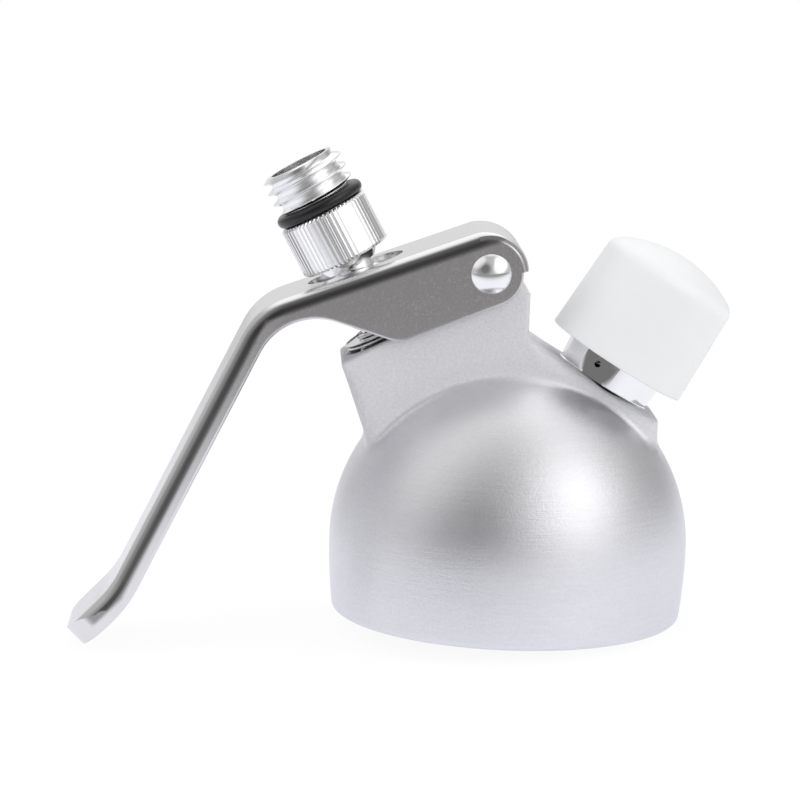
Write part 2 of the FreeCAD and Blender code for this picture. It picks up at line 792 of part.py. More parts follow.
seat = SEAT
clip_low = S["washer_h"] + S["washer_t"]
ring_low = seat - 6.4
valve_bush = turned("valve_bush", bush_outline(), VALVE)
stem_solid = turned("stem_solid", stem_outline(), VALVE)
ports = [spoke("stem_port_%d" % turn, 1.3, 0.5, 6, VALVE, -seat + 2.4, 90 * turn) for turn in range(4)]
valve_stem = cut("valve_stem", stem_solid, fuse("stem_ports", ports))
spring_washer = tube("spring_washer", S["stem_r"] + 0.05, S["washer_r"], S["washer_h"], clip_low, VALVE, 0.2)
clip_full = tube("clip_full", S["stem_r"] - 0.58, S["stem_r"] + 1.3, clip_low + 0.05, clip_low + 0.65, VALVE)
clip_gap = block("clip_gap", 1, 2.4, clip_low - 1, clip_low + 2, VALVE, 180)
stem_clip = cut("stem_clip", clip_full, clip_gap)
valve_spring = spring(
    "valve_spring",
    S["spring_r"],
    S["spring_wire"],
    S["spring_turns"],
    0.02 - S["pocket_depth"],
    S["washer_h"] - 0.02,
    VALVE,
)
stem_ring = ring("stem_ring", S["stem_r"] - 0.53, 0.56, VALVE.along(-ring_low - 1))
valve_seal = tube("valve_seal", 2.22, S["bush_r"] + 0.6, -seat - 2.4, -seat - 0.02, VALVE, 0.4)
seal_nut = cut(
    "seal_nut",
    hexagon("seal_nut_full", 8, -seat - 5, 2.58, VALVE),
    rod("seal_nut_hole", 2.2, 6, VALVE.along(-seat - 6)),
)


# --- nozzle adapter ------------------------------------------------------------------------------

ADAPTER = VALVE.along(S["collar_h"])


def adapter_outline():
    """The adapter: cone, knurled collar, ring groove, threaded nozzle end."""
    bore = S["stem_r"] + S["run"]
    seal_top = S["stem_top"] - S["collar_h"] + 1.2
    collar = S["collar_r"]
    top = S["collar_len"]
    ring_top = top + 2.7
    end = S["adapter_len"]
    return [
        Corner(bore, -1.9),
        Corner(bore + 0.75, -1.9),
        Corner(S["nozzle_root"], 0),
        Corner(collar - 0.5, 0),
        Corner(collar, 0.5),
        Corner(collar, top - 0.5),
        Corner(collar - 0.5, top),
        Corner(S["nozzle_root"] - 0.1, top),
        Corner(S["nozzle_root"] - 0.1, ring_top),
        Corner(S["nozzle_root"] + 0.5, ring_top),
        Corner(S["nozzle_r"], ring_top + 0.5),
        Corner(S["nozzle_r"], end - 0.7),
        Corner(S["nozzle_root"] + 0.3, end),
        Corner(S["nozzle_bore"], end),
        Corner(S["nozzle_bore"], top + 0.6),
        Corner(3, seal_top + 0.6),
        Corner(3, seal_top),
        Corner(bore, seal_top),
    ]


def knurled_adapter():
    """The turned adapter, as two halves, with straight ribs cut round its collar."""
    body = new_body("adapter_turned", ADAPTER)
    for name, reverse in (("adapter_front", False), ("adapter_back", True)):
        half = turn_in(body, name, adapter_outline())
        half.Angle = 180
        half.Reversed = reverse
        half.Refine = False
    deep = S["collar_r"] - 0.45
    wide = S["collar_r"] + 0.5
    notch = [Corner(deep, 0), Corner(wide, -0.7), Corner(wide, 0.7)]
    sketch = new_sketch(body, "rib_notch", notch, "XY_Plane")
    pocket = body.newObject("PartDesign::Pocket", "rib_cut")
    pocket.Profile = sketch
    pocket.Reversed = True
    pocket.Refine = False
    pocket.Length = S["collar_len"].value
    bind(pocket, "Length", S["collar_len"])
    doc.recompute()
    ribs = body.newObject("PartDesign::PolarPattern", "ribs")
    ribs.Originals = [pocket]
    ribs.Axis = (origin_plane(body, "Z_Axis"), [""])
    ribs.Angle = 360
    ribs.Occurrences = int(S["ribs"].value)
    ribs.Refine = False
    bind(ribs, "Occurrences", S["ribs"])
    body.Tip = ribs
    return body


NOZZLE_GROOVE = S["collar_len"] + 0.8
CREST_HALF = sized(0.95)


def crest_end(label, first, last):
    """What blunts the crest of the nozzle's thread between two angles counted from the groove's start."""
    near, far = S["nozzle_root"] + 0.15, S["nozzle_r"] + 0.6
    section = [
        Corner(near, -CREST_HALF), Corner(far, -CREST_HALF), Corner(far, CREST_HALF), Corner(near, CREST_HALF),
    ]
    height = S["nozzle_pitch"] * ((last - first) / 360)
    low = NOZZLE_GROOVE + S["nozzle_pitch"] * (0.5 + first / 360)
    return coil(label, S["nozzle_pitch"], height, section, ADAPTER.along(low), first % 360)


nozzle_teeth = coil(
    "nozzle_groove",
    S["nozzle_pitch"],
    S["adapter_len"] - S["collar_len"] + 0.6,
    groove_teeth(S["nozzle_r"], S["nozzle_root"], sized(1.1), sized(0.45), sized(0.5)),
    ADAPTER.along(NOZZLE_GROOVE),
)
threaded_adapter = cut("threaded_adapter", knurled_adapter(), nozzle_teeth)
threaded_adapter.Refine = False
first_crest = crest_end("first_crest", -30, 297)
last_crest = crest_end("last_crest", 1103, 1460)
started_adapter = cut("started_adapter", threaded_adapter, first_crest)
started_adapter.Refine = False
nozzle_adapter = cut("nozzle_adapter", started_adapter, last_crest)
nozzle_adapter.Refine = False
ring_middle = S["nozzle_root"] - 0.04 + S["ring_wire"]
nozzle_ring = ring("nozzle_ring", ring_middle, S["ring_wire"], ADAPTER.along(S["collar_len"] + 1.3))
seal_low = S["stem_top"] - S["collar_h"]
adapter_seal = tube("adapter_seal", S["stem_bore"] + 0.1, S["stem_r"], seal_low + 0.02, seal_low + 1.18, ADAPTER)


# --- lever ---------------------------------------------------------------------------------------

STRIP_END = sized(5)


def across_web(reach):
    """Where a line at a distance from the pivot, along the web, crosses the pivot's upright."""
    return PIVOT_Z + reach / cos(S["web_slope"])


def meet(x, z, first, first_in, second, second_in):
    """The corner of two slopes through a point, each moved inward by its own distance."""
    step = (second_in / cos(second) - first_in / cos(first)) / (tan(second) - tan(first))
    return x + step, z - first_in / cos(first) + step * tan(first)


def lever_points():
    """The corners that the lever's outside and inside share."""
    knee_z = across_web(S["lever_r"]) + (S["knee_x"] - S["pivot_x"]) * tan(S["web_slope"])
    curl_z = knee_z + (S["curl_x"] - S["knee_x"]) * tan(S["handle_slope"])
    tip_z = curl_z + (S["tip_x"] - S["curl_x"]) * tan(S["curl_slope"])
    return knee_z, curl_z, tip_z


def round_pivot(radius, angle):
    """A point at a radius and an angle about the pivot."""
    return S["pivot_x"] + radius * cos(angle), PIVOT_Z + radius * sin(angle)


def lever_outline():
    """The lever's outside seen from the front."""
    knee_z, curl_z, tip_z = lever_points()
    strip = round_pivot(S["lever_r"], STRIP_END)
    crown = round_pivot(S["lever_r"], S["web_slope"] + 90)
    tip_low = (S["tip_x"] + S["tip_depth"] * sin(S["curl_slope"]), tip_z - S["tip_depth"] * cos(S["curl_slope"]))
    curl = meet(S["curl_x"], curl_z, S["handle_slope"], S["handle_depth"], S["curl_slope"], S["tip_depth"])
    belly_z = PIVOT_Z - S["cheek_r"] / cos(S["cheek_slope"])
    belly_z = belly_z + (S["belly_x"] - S["pivot_x"]) * tan(S["cheek_slope"])
    armpit = meet_rise(knee_z, belly_z)
    tangent = round_pivot(S["cheek_r"], S["cheek_slope"] - 90)
    cheek = round_pivot(S["cheek_r"], STRIP_END)
    return [
        Corner(*strip, arc=S["lever_r"]),
        Corner(*crown),
        Corner(S["knee_x"], knee_z, rounding=S["knee_round"]),
        Corner(S["curl_x"], curl_z, rounding=S["curl_round"]),
        Corner(S["tip_x"], tip_z),
        Corner(*tip_low),
        Corner(*curl, rounding=S["curl_round"] + S["tip_depth"]),
        Corner(*armpit, rounding=S["knee_round"] - 2),
        Corner(S["belly_x"], belly_z, rounding=6),
        Corner(*tangent, arc=S["cheek_r"]),
        Corner(*cheek),
    ]


def meet_rise(knee_z, belly_z):
    """The corner of the cheeks' rising edge and the handle's inner edge."""
    rise = tan(S["belly_rise"])
    steep = tan(S["handle_slope"])
    depth = S["handle_depth"] / cos(S["handle_slope"])
    total = belly_z + rise * S["belly_x"] - knee_z + depth + S["knee_x"] * steep
    x = total / (steep + rise)
    return x, belly_z - rise * (x - S["belly_x"])


def lever_hollow_outline():
    """The space inside the lever seen from the front, open below."""
    wall = S["lever_t"]
    knee_z, curl_z, tip_z = lever_points()
    inner = S["lever_r"] - wall
    strip = round_pivot(inner, STRIP_END)
    crown = round_pivot(inner, S["web_slope"] + 90)
    knee = meet(S["knee_x"], knee_z, S["web_slope"], wall, S["handle_slope"], wall)
    curl = meet(S["curl_x"], curl_z, S["handle_slope"], wall, S["curl_slope"], wall)
    turn = S["curl_slope"]
    tip = (S["tip_x"] + wall * (cos(turn) + sin(turn)), tip_z + wall * (sin(turn) - cos(turn)))
    low = (tip[0] + 12 * sin(turn), tip[1] - 12 * cos(turn))
    return [
        Corner(*strip, arc=inner),
        Corner(*crown),
        Corner(*knee, rounding=S["knee_round"] - wall),
        Corner(*curl, rounding=S["curl_round"] + wall),
        Corner(*tip),
        Corner(*low),
        Corner(strip[0], low[1]),
    ]


def round_end_outline(half, radius):
    """What lies outside a rounded end; x runs inward from the end, y across."""
    far = half + 4
    return [
        Corner(radius, half, arc=radius),
        Corner(0, half - radius),
        Corner(0, radius - half, arc=radius),
        Corner(radius, -half),
        Corner(radius, -far),
        Corner(-4, -far),
        Corner(-4, far),
        Corner(radius, far),
    ]


def slot_outline():
    """The slot with round ends; x runs towards the pivot from the valve axis."""
    half = S["slot_w"] / 2
    low = -S["slot_low"]
    high = S["slot_high"]
    return [
        Corner(low + half, -half),
        Corner(high - half, -half, arc=half),
        Corner(high, 0, arc=half),
        Corner(high - half, half),
        Corner(low + half, half, arc=half),
        Corner(low, 0, arc=half),
    ]


def web_crossing():
    """The frame on the web's outside where the valve axis passes through it."""
    rise_x = VALVE.x - S["pivot_x"]
    rise_z = VALVE.z - PIVOT_Z
    over = cos(S["web_slope"]) * rise_z - sin(S["web_slope"]) * rise_x
    reach = (S["lever_r"] - over) / cos(S["valve_tilt"] - S["web_slope"])
    point = VALVE.along(reach)
    return Frame(point.x, point.z, -S["web_slope"])


half_lever = S["lever_w"] / 2
wall = S["lever_t"]
tip_z = lever_points()[2]
TIP = Frame(S["tip_x"], tip_z, -S["curl_slope"])
TIP_IN = Frame(S["tip_x"] + wall * cos(S["curl_slope"]), tip_z + wall * sin(S["curl_slope"]), -S["curl_slope"])
lever_full = plate("lever_full", lever_outline(), S["lever_w"])
tip_tool = plate("tip_tool", round_end_outline(half_lever, S["tip_round"]), 40, TIP, "XY_Plane")
lever_tipped = cut("lever_tipped", lever_full, tip_tool)
inside_full = plate("inside_full", lever_hollow_outline(), S["lever_w"] - 2 * wall)
tip_tool_in = plate("tip_tool_in", round_end_outline(half_lever - wall, S["tip_round"] - wall), 60, TIP_IN, "XY_Plane")
lever_inside = cut("lever_inside", inside_full, tip_tool_in)
doc.recompute()


def bend_edge(point):
    """An edge along the lever's bend: a wall away from the inside both ways."""
    gap = lever_inside.Shape.distToShape(Part.Vertex(point))[0]
    return abs(gap - wall.value * math.sqrt(2)) < 0.03


lever_soft = rounded("lever_soft", lever_tipped, wall, bend_edge)
lever_open = cut("lever_open", lever_soft, lever_inside)
slot = plate("stem_slot", slot_outline(), 8, web_crossing(), "XY_Plane")
lever_slotted = cut("lever_slotted", lever_open, slot)
eye = cross_rod("lever_eye", S["rivet_r"], S["lever_w"] + 4, S["pivot_x"], PIVOT_Z)
lever_eyed = cut("lever_eyed", lever_slotted, eye)


def strip_outline():
    """What is taken off beside the web's end strip, outside the cheeks' round ends."""
    past = STRIP_END - 15
    crown = S["web_slope"] + 90
    beyond = S["lever_r"] + 1
    return [
        Corner(*round_pivot(S["cheek_r"], past), arc=S["cheek_r"]),
        Corner(*round_pivot(S["cheek_r"], crown)),
        Corner(*round_pivot(beyond, crown), arc=-beyond),
        Corner(*round_pivot(beyond, past)),
    ]


strip_sides = [
    plate("strip_front", strip_outline(), 2 * S["strip_in"], HOME, "XZ_Plane", -half_lever),
    plate("strip_back", strip_outline(), 2 * S["strip_in"], HOME, "XZ_Plane", half_lever),
]
lever = cut("lever", lever_eyed, fuse("strip_sides", strip_sides))


def rivet_outline():
    """The rivet: shank and two domed heads, turned about Y."""
    head, high = S["rivet_head_r"], S["rivet_head_h"]
    ball = (head * head + high * high) / (2 * high)
    return [
        Corner(0, -half_lever - high, arc=ball),
        Corner(head, -half_lever),
        Corner(S["rivet_r"], -half_lever),
        Corner(S["rivet_r"], half_lever),
        Corner(head, half_lever, arc=ball),
        Corner(0, half_lever + high),
    ]


def turned_across(label, corners):
    """Material turned about the pivot's own cross axis."""
    body = new_body(label, Frame(S["pivot_x"], PIVOT_Z, 0))
    sketch = new_sketch(body, label + "_outline", corners, "XY_Plane")
    feature = body.newObject("PartDesign::Revolution", label + "_turn")
    feature.Profile = sketch
    feature.ReferenceAxis = (sketch, ["V_Axis"])
    feature.Angle = 360
    return body


def side_washer(label, side):
    """A thin plastic washer between a cheek and the ridge."""
    near = S["ridge_w"] / 2 + 0.06
    far = half_lever - wall - 0.04
    inner = S["rivet_r"] + 0.05
    outer = S["boss_r"] - 0.8
    corners = [Corner(inner, side * near), Corner(outer, side * near), Corner(outer, side * far)]
    corners.append(Corner(inner, side * far))
    return turned_across(label, corners)


pivot_rivet = turned_across("pivot_rivet", rivet_outline())
front_washer = side_washer("front_washer", -1)
back_washer = side_washer("back_washer", 1)


# --- charger port --------------------------------------------------------------------------------

def port_outline():
    """The port: spigot, barrel, relief, threaded end and the charger neck's bore."""
    spigot, barrel, crest, bore = S["spigot_r"], S["port_r"], S["port_crest"], S["port_bore"]
    top, step, tail, low = S["port_top"], S["barrel_h"], S["tail_r"], -S["spigot_end"]
    return [
        Corner(0, -S["tail_end"]),
        Corner(tail - 0.6, -S["tail_end"]),
        Corner(tail, 0.6 - S["tail_end"]),
        Corner(tail, low),
        Corner(spigot - 0.5, low),
        Corner(spigot, low + 0.5),
        Corner(spigot, 0),
        Corner(barrel - 0.25, 0),
        Corner(barrel, 0.25),
        Corner(barrel, step - 0.3),
        Corner(barrel - 0.3, step),
        Corner(crest - 1.1, step),
        Corner(crest - 1.1, step + 1.1),
        Corner(crest, step + 1.6),
        Corner(crest, top - 0.6),
        Corner(crest - 0.6, top),
        Corner(bore + 0.5, top),
        Corner(bore, top - 0.5),
        Corner(bore, 1),
        Corner(2.5, 1),
        Corner(2.5, -5.2),
        Corner(1.6, -5.2),
        Corner(1.6, 1.5 - S["tail_end"]),
        Corner(0, 1.5 - S["tail_end"]),
    ]


def needle_outline():
    """The hollow piercing pin with its threaded shank."""
    return [
        Corner(0.55, -5),
        Corner(2.48, -5),
        Corner(2.48, 1.6),
        Corner(S["needle_r"], 3.6),
        Corner(S["needle_r"], S["needle_top"] - 2),
        Corner(0.62, S["needle_top"]),
        Corner(0.55, S["needle_top"]),
    ]


def cap_outline():
    """The cap's shell: straight skirt, rounded shoulder, shallow crown."""
    low = S["cap_h"]
    top = S["cap_h"] + S["cap_len"]
    return crown_side(low, top, 0) + crown_side(low, top, S["cap_wall"])[::-1]


def crown_side(low, top, inset):
    """One side of the shell from its foot to its axis, or back for the inner side."""
    crown = S["cap_crown"] - inset
    corner = S["cap_corner"] - inset
    outer = S["cap_r"] - inset
    centre_r = S["cap_r"] - S["cap_corner"]
    between = S["cap_crown"] - S["cap_corner"]
    rise = sqrt(between * between - centre_r * centre_r)
    centre_z = top - S["cap_crown"]
    shoulder = (centre_r * crown / between, centre_z + rise * crown / between)
    if inset == 0:
        return [
            Corner(outer, low),
            Corner(outer, centre_z + rise, arc=corner),
            Corner(*shoulder, arc=crown),
            Corner(0, centre_z + crown),
        ]
    return [
        Corner(outer, low),
        Corner(outer, centre_z + rise),
        Corner(*shoulder, arc=-corner),
        Corner(0, centre_z + crown, arc=-crown),
    ]


def sleeve_outline():
    """The inner sleeve that grips the port's thread; its top stands under the cap's crown."""
    grip = S["port_crest"] + 0.05
    outer = grip + 1.3
    low = S["cap_h"] + 2.7
    corner = S["cap_corner"] - S["cap_wall"]
    centre_r = S["cap_r"] - S["cap_corner"]
    between = S["cap_crown"] - S["cap_corner"]
    centre_z = S["cap_h"] + S["cap_len"] - S["cap_crown"] + sqrt(between * between - centre_r * centre_r)
    beside = outer - centre_r
    high = centre_z + sqrt(corner * corner - beside * beside) - 0.02
    return [Corner(grip, low), Corner(outer, low), Corner(outer, high), Corner(grip, high)]


port_turned = turned("port_turned", port_outline(), PORT)
flats = [
    block("front_flat", S["port_flat"], 16, -1, S["barrel_h"] - 0.8, PORT, S["port_turn"]),
    block("back_flat", S["port_flat"], 16, -1, S["barrel_h"] - 0.8, PORT, S["port_turn"] - 180),
]
vents = [
    spoke("vent", 0.65, 4, 9, PORT, S["barrel_h"] / 2, S["port_turn"] - 3),
    spoke("gas_hole_a", 1, 0.5, 6, PORT, 2.5 - S["tail_end"], 0),
    spoke("gas_hole_b", 1, 0.5, 6, PORT, 2.5 - S["tail_end"], 180),
]
port_teeth = coil(
    "port_groove",
    S["port_pitch"],
    S["port_top"] - S["barrel_h"] + 0.2,
    groove_teeth(S["port_crest"], S["port_crest"] - 1.05, sized(0.95), sized(0.4), sized(0.4)),
    PORT.along(S["barrel_h"] + 0.8),
)
port_flatted = cut("port_flatted", port_turned, fuse("port_flats", flats))
port_vented = cut("port_vented", port_flatted, fuse("port_vents", vents))
charger_port = cut("charger_port", port_vented, port_teeth)
port_ring = ring("port_ring", S["spigot_r"] + 0.85, 0.72, PORT.along(-0.76))
port_nut = cut(
    "port_nut",
    hexagon("port_nut_full", S["port_nut_w"], -S["port_boss"] - 0.02 - S["port_nut_h"], S["port_nut_h"], PORT),
    rod("port_nut_hole", S["spigot_r"], S["port_nut_h"] + 4, PORT.along(-S["port_boss"] - S["port_nut_h"] - 2)),
)
pin_hex = cut("pin_hex", hexagon("pin_hex_full", 8, 1, 2, PORT), rod("pin_hex_hole", 1, 4, PORT))
piercing_pin = fuse("piercing_pin", [turned("needle", needle_outline(), PORT), pin_hex])
charger_seal = tube("charger_seal", 1.6, S["port_bore"] - 0.05, 4.2, 6.8, PORT, 0.3)
gas_sleeve = tube("gas_sleeve", S["tail_r"] + 0.02, S["tail_r"] + 1.2, 0.4 - S["tail_end"], 4.6 - S["tail_end"], PORT, 0.3)
charger_cap = turned("charger_cap", cap_outline(), PORT)
cap_sleeve = turned("cap_sleeve", sleeve_outline(), PORT)


# --- check and write -----------------------------------------------------------------------------

NODES = [
    head_body, bottle_gasket, valve_bush, charger_port, port_ring, port_nut,
    piercing_pin, charger_seal, gas_sleeve, valve_stem, spring_washer, stem_clip,
    valve_spring, stem_ring, valve_seal, seal_nut, lever, pivot_rivet, front_washer,
    back_washer, nozzle_adapter, nozzle_ring, adapter_seal, charger_cap, cap_sleeve,
]

doc.recompute()
bad = []
for item in doc.Objects:
    if "Invalid" in item.State or "Error" in item.State:
        bad.append(item.Label)
for item in NODES:
    if item.Shape.isNull() or not item.Shape.isValid() or len(item.Shape.Solids) != 1:
        bad.append(item.Label)
if bad:
    raise RuntimeError("not sound: " + ", ".join(bad))
for item in NODES:
    item.Shape.exportStep("parts/%s.step" % item.Label)
    box = item.Shape.BoundBox
    print("%-16s %9.2f mm3  %6.2f %6.2f %6.2f" % (item.Label, item.Shape.Volume, box.XLength, box.YLength, box.ZLength))
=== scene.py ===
"""The screw-on head of a whipped cream dispenser, dressed round its solid model."""

import json
import math

import bmesh
import bpy
import numpy as np
from mathutils import Matrix, Vector


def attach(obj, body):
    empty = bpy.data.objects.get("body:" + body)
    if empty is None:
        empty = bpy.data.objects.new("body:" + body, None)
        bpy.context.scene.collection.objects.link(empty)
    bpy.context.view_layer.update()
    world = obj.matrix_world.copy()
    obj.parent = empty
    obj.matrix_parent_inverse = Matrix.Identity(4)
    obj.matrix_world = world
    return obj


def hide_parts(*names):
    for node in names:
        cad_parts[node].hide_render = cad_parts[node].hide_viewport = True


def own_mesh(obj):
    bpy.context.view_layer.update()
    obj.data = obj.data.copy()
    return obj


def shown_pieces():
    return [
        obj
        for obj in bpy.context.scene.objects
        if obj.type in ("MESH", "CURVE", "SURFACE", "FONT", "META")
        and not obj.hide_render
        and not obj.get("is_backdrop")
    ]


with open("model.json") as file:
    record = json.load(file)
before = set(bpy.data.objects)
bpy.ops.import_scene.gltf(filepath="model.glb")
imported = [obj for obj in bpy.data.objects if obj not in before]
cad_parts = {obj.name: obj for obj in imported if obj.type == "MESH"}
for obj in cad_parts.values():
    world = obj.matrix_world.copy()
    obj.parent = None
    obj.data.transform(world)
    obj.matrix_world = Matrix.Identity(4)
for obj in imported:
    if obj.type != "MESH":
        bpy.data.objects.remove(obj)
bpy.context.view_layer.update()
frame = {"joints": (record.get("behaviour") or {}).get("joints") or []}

bl_info = {
    "name": "Cream dispenser head",
    "version": (1, 0, 0),
    "blender": (4, 5, 0),
    "location": "3D View > Sidebar > Dispenser",
    "description": "Builds the head of a whipped cream dispenser round its solid model",
    "category": "Add Mesh",
}

MM = 0.001
TURN = 2 * math.pi
RUNNING_FIT = 0.05  # gap between a shaft and the hole it turns or slides in, mm
REST_GAP = 0.02  # gap between pieces that rest on each other, mm
JOINTS = {joint["name"]: joint for joint in frame["joints"]}
PIVOT_X = JOINTS["lever_pivot"]["pos_m"][0] / MM
PIVOT_Z = JOINTS["lever_pivot"]["pos_m"][2] / MM


# --- sizes and colours ----------------------------------------------------------------------------

def length(name, description, millimetres):
    value = millimetres * MM
    return bpy.props.FloatProperty(name=name, description=description, default=value, unit="LENGTH")


def angle(name, description, degrees):
    value = math.radians(degrees)
    return bpy.props.FloatProperty(name=name, description=description, default=value, unit="ROTATION")


def count(name, description, number):
    return bpy.props.IntProperty(name=name, description=description, default=number, min=1)


def colour(name, description, rgb):
    return bpy.props.FloatVectorProperty(
        name=name, description=description, default=rgb, size=3, min=0, max=1, subtype="COLOR"
    )


def share(name, description, value):
    return bpy.props.FloatProperty(name=name, description=description, default=value, min=0, subtype="FACTOR")


class CREAM_PG_head(bpy.types.PropertyGroup):
    """Sizes of the cast head."""

    dome_r: length("Dome radius", "Outer radius of the dome", 35)
    dome_z: length("Dome centre", "Height of the dome's centre above the rim", 14)
    dome_wall: length("Wall", "Wall of the dome", 5.5)
    skirt_curve: length("Skirt curve", "Radius of the skirt's gentle curve", 107)
    rim_round: length("Rim rounding", "Rounding of the rim's outer edge", 1)
    throat_r: length("Throat", "Radius of the throat above the gasket seat", 25.5)
    seat_z: length("Gasket seat", "Height of the gasket seat", 17)
    bottle_r: length("Bottle thread", "Crest radius of the bottle thread", 28)
    bottle_depth: length("Bottle thread depth", "Depth of the bottle thread", 1.4)
    bottle_pitch: length("Bottle thread pitch", "Rise of the bottle thread in one turn", 3)
    bottle_top: length("Bottle thread end", "Height at which the bottle thread ends", 13)
    ridge_w: length("Ridge width", "Thickness of the ridge", 20)
    ridge_back: length("Ridge back", "Place of the ridge's upright back face", 1.8)
    ridge_end: length("Ridge end", "Place of the ridge's right end", 27.7)
    ridge_lean: angle("Ridge lean", "Lean of the ridge's left end", 20)
    shoulder_z: length("Shoulder", "Height of the small shoulder behind the pivot", 65.3)
    boss_r: length("Pivot boss", "Radius of the pivot boss", 6)
    edge_round: length("Edge rounding", "Rounding of the ridge's long edges", 0.8)
    end_round: length("End rounding", "Rounding of the ridge's upright end edges", 3)
    port_round: length("Port face rounding", "Rounding of the long edges of the port's face", 3.0)
    fillet: length("Fillet", "Fillet between the ridge and the dome", 1.6)


class CREAM_PG_valve(bpy.types.PropertyGroup):
    """Sizes of the valve and its nozzle adapter."""

    x: length("Valve x", "Where the valve's axis leaves the ridge, along X", -25.2007)
    z: length("Valve z", "Where the valve's axis leaves the ridge, along Z", 54.5004)
    tilt: angle("Valve tilt", "Lean of the valve's axis to the left", 29)
    reach: length("Valve face", "Length of the ridge's face left of the valve's axis", 10.06)
    stem_r: length("Stem", "Radius of the valve stem", 4.2)
    stem_bore: length("Stem bore", "Radius of the stem's passage", 2.6)
    stem_top: length("Stem top", "Top of the stem above the ridge", 24.4)
    seat_depth: length("Seat depth", "Valve seat below the ridge's face", 21.6)
    boss_depth: length("Boss depth", "Inner face of the valve's boss", 20)
    pocket_r: length("Pocket", "Radius of the spring's pocket", 6.9)
    pocket_depth: length("Pocket depth", "Depth of the spring's pocket", 12)
    mouth_r: length("Mouth", "Radius of the pocket's wide mouth", 8.8)
    mouth_depth: length("Mouth depth", "Depth of the pocket's wide mouth", 5.2)
    bush_r: length("Bush", "Outer radius of the valve bush", 6)
    flange_r: length("Flange", "Radius of the stem's push flange", 7.5)
    flange_ball: length("Flange ball", "Radius of the push flange's rounded top", 9)
    flange_ball_z: length("Flange ball centre", "Centre of that rounding above the ridge", 5.2994)
    washer_r: length("Spring washer", "Radius of the spring washer", 8.3)
    washer_t: length("Washer thickness", "Thickness of the spring washer", 1.1)
    washer_h: length("Washer gap", "Gap from the ridge's face to the spring washer", 0.4)
    spring_r: length("Spring", "Mean radius of the valve spring", 5.6)
    spring_wire: length("Spring wire", "Radius of the spring's wire", 0.5)
    spring_turns: count("Spring turns", "Turns of the valve spring", 6)
    collar_h: length("Collar height", "Underside of the knurled collar above the ridge", 16.7)
    collar_r: length("Collar", "Radius of the knurled collar", 9.05)
    collar_len: length("Collar length", "Length of the knurled collar", 10.2)
    rib_depth: length("Rib depth", "Depth of the collar's ribs", 0.45)
    ribs: count("Ribs", "Number of ribs on the collar", 58)
    nozzle_r: length("Nozzle thread", "Crest radius of the nozzle thread", 8.05)
    nozzle_root: length("Nozzle root", "Root radius of the nozzle thread", 6.6)
    nozzle_pitch: length("Nozzle pitch", "Rise of the nozzle thread in one turn", 2.25)
    nozzle_bore: length("Nozzle bore", "Radius of the nozzle's bore", 5.6)
    adapter_len: length("Adapter length", "Collar's underside to the adapter's rim", 20.3)
    ring_wire: length("Ring wire", "Section radius of the nozzle's O-ring", 1.2)


class CREAM_PG_lever(bpy.types.PropertyGroup):
    """Sizes of the bent sheet lever and its rivet."""

    width: length("Width", "Width of the lever", 24.6)
    wall: length("Wall", "Thickness of the sheet", 1.6)
    bend: length("Bend", "Outer radius of the long bends", 2.9)
    edge: length("Edge", "Rounding of the sheet's cut edges", 0.6)
    strip_thin: length("Strip thinning", "How much thinner the web is at its rolled end", 0.75)
    web_r: length("Web round the pivot", "Outer radius of the web round the pivot", 8.1)
    cheek_r: length("Cheek", "Radius of the cheeks round the pivot", 6.2)
    web_slope: angle("Web slope", "Slope of the web", 20.6)
    handle_slope: angle("Handle slope", "Slope of the handle", 64.3)
    curl_slope: angle("Curl slope", "Slope of the handle's curled end", 46)
    knee_x: length("Knee", "Corner between web and handle", -50.6)
    knee_round: length("Knee rounding", "Rounding of that corner", 14)
    curl_x: length("Curl", "Corner where the end curls out", -77.2)
    curl_round: length("Curl rounding", "Rounding of that corner", 20)
    tip_x: length("Tip", "End of the handle", -86.2)
    tip_round: length("Tip rounding", "Rounding of the handle's end seen from above", 10)
    tip_bend: length("Tip bend", "Rounding of the handle's end seen from the side", 1.4)
    tip_depth: length("Tip depth", "Depth of the curled end's sides", 4.9)
    handle_depth: length("Handle depth", "Depth of the handle's sides", 4.7)
    cheek_slope: angle("Cheek slope", "Slope of the cheeks' lower edge", 22.5)
    belly_x: length("Belly", "The cheeks' lowest corner", -23)
    belly_rise: angle("Belly rise", "Rise of the cheeks' edge left of that corner", 16.7)
    belly_round: length("Belly rounding", "Rounding of that corner", 6)
    slot_w: length("Slot width", "Width of the slot for the stem", 11)
    slot_low: length("Slot below", "Reach of the slot below the valve's axis", 9.2)
    slot_high: length("Slot above", "Reach of the slot above the valve's axis", 10.2)
    strip_in: length("Strip set-in", "How far the web's end strip is set in from the cheeks", 1.0)
    rivet_r: length("Rivet shank", "Radius of the rivet's shank", 2.5)
    rivet_head_r: length("Rivet head", "Radius of the rivet's heads", 3.85)
    rivet_head_h: length("Rivet head height", "Height of the rivet's heads", 1.7)


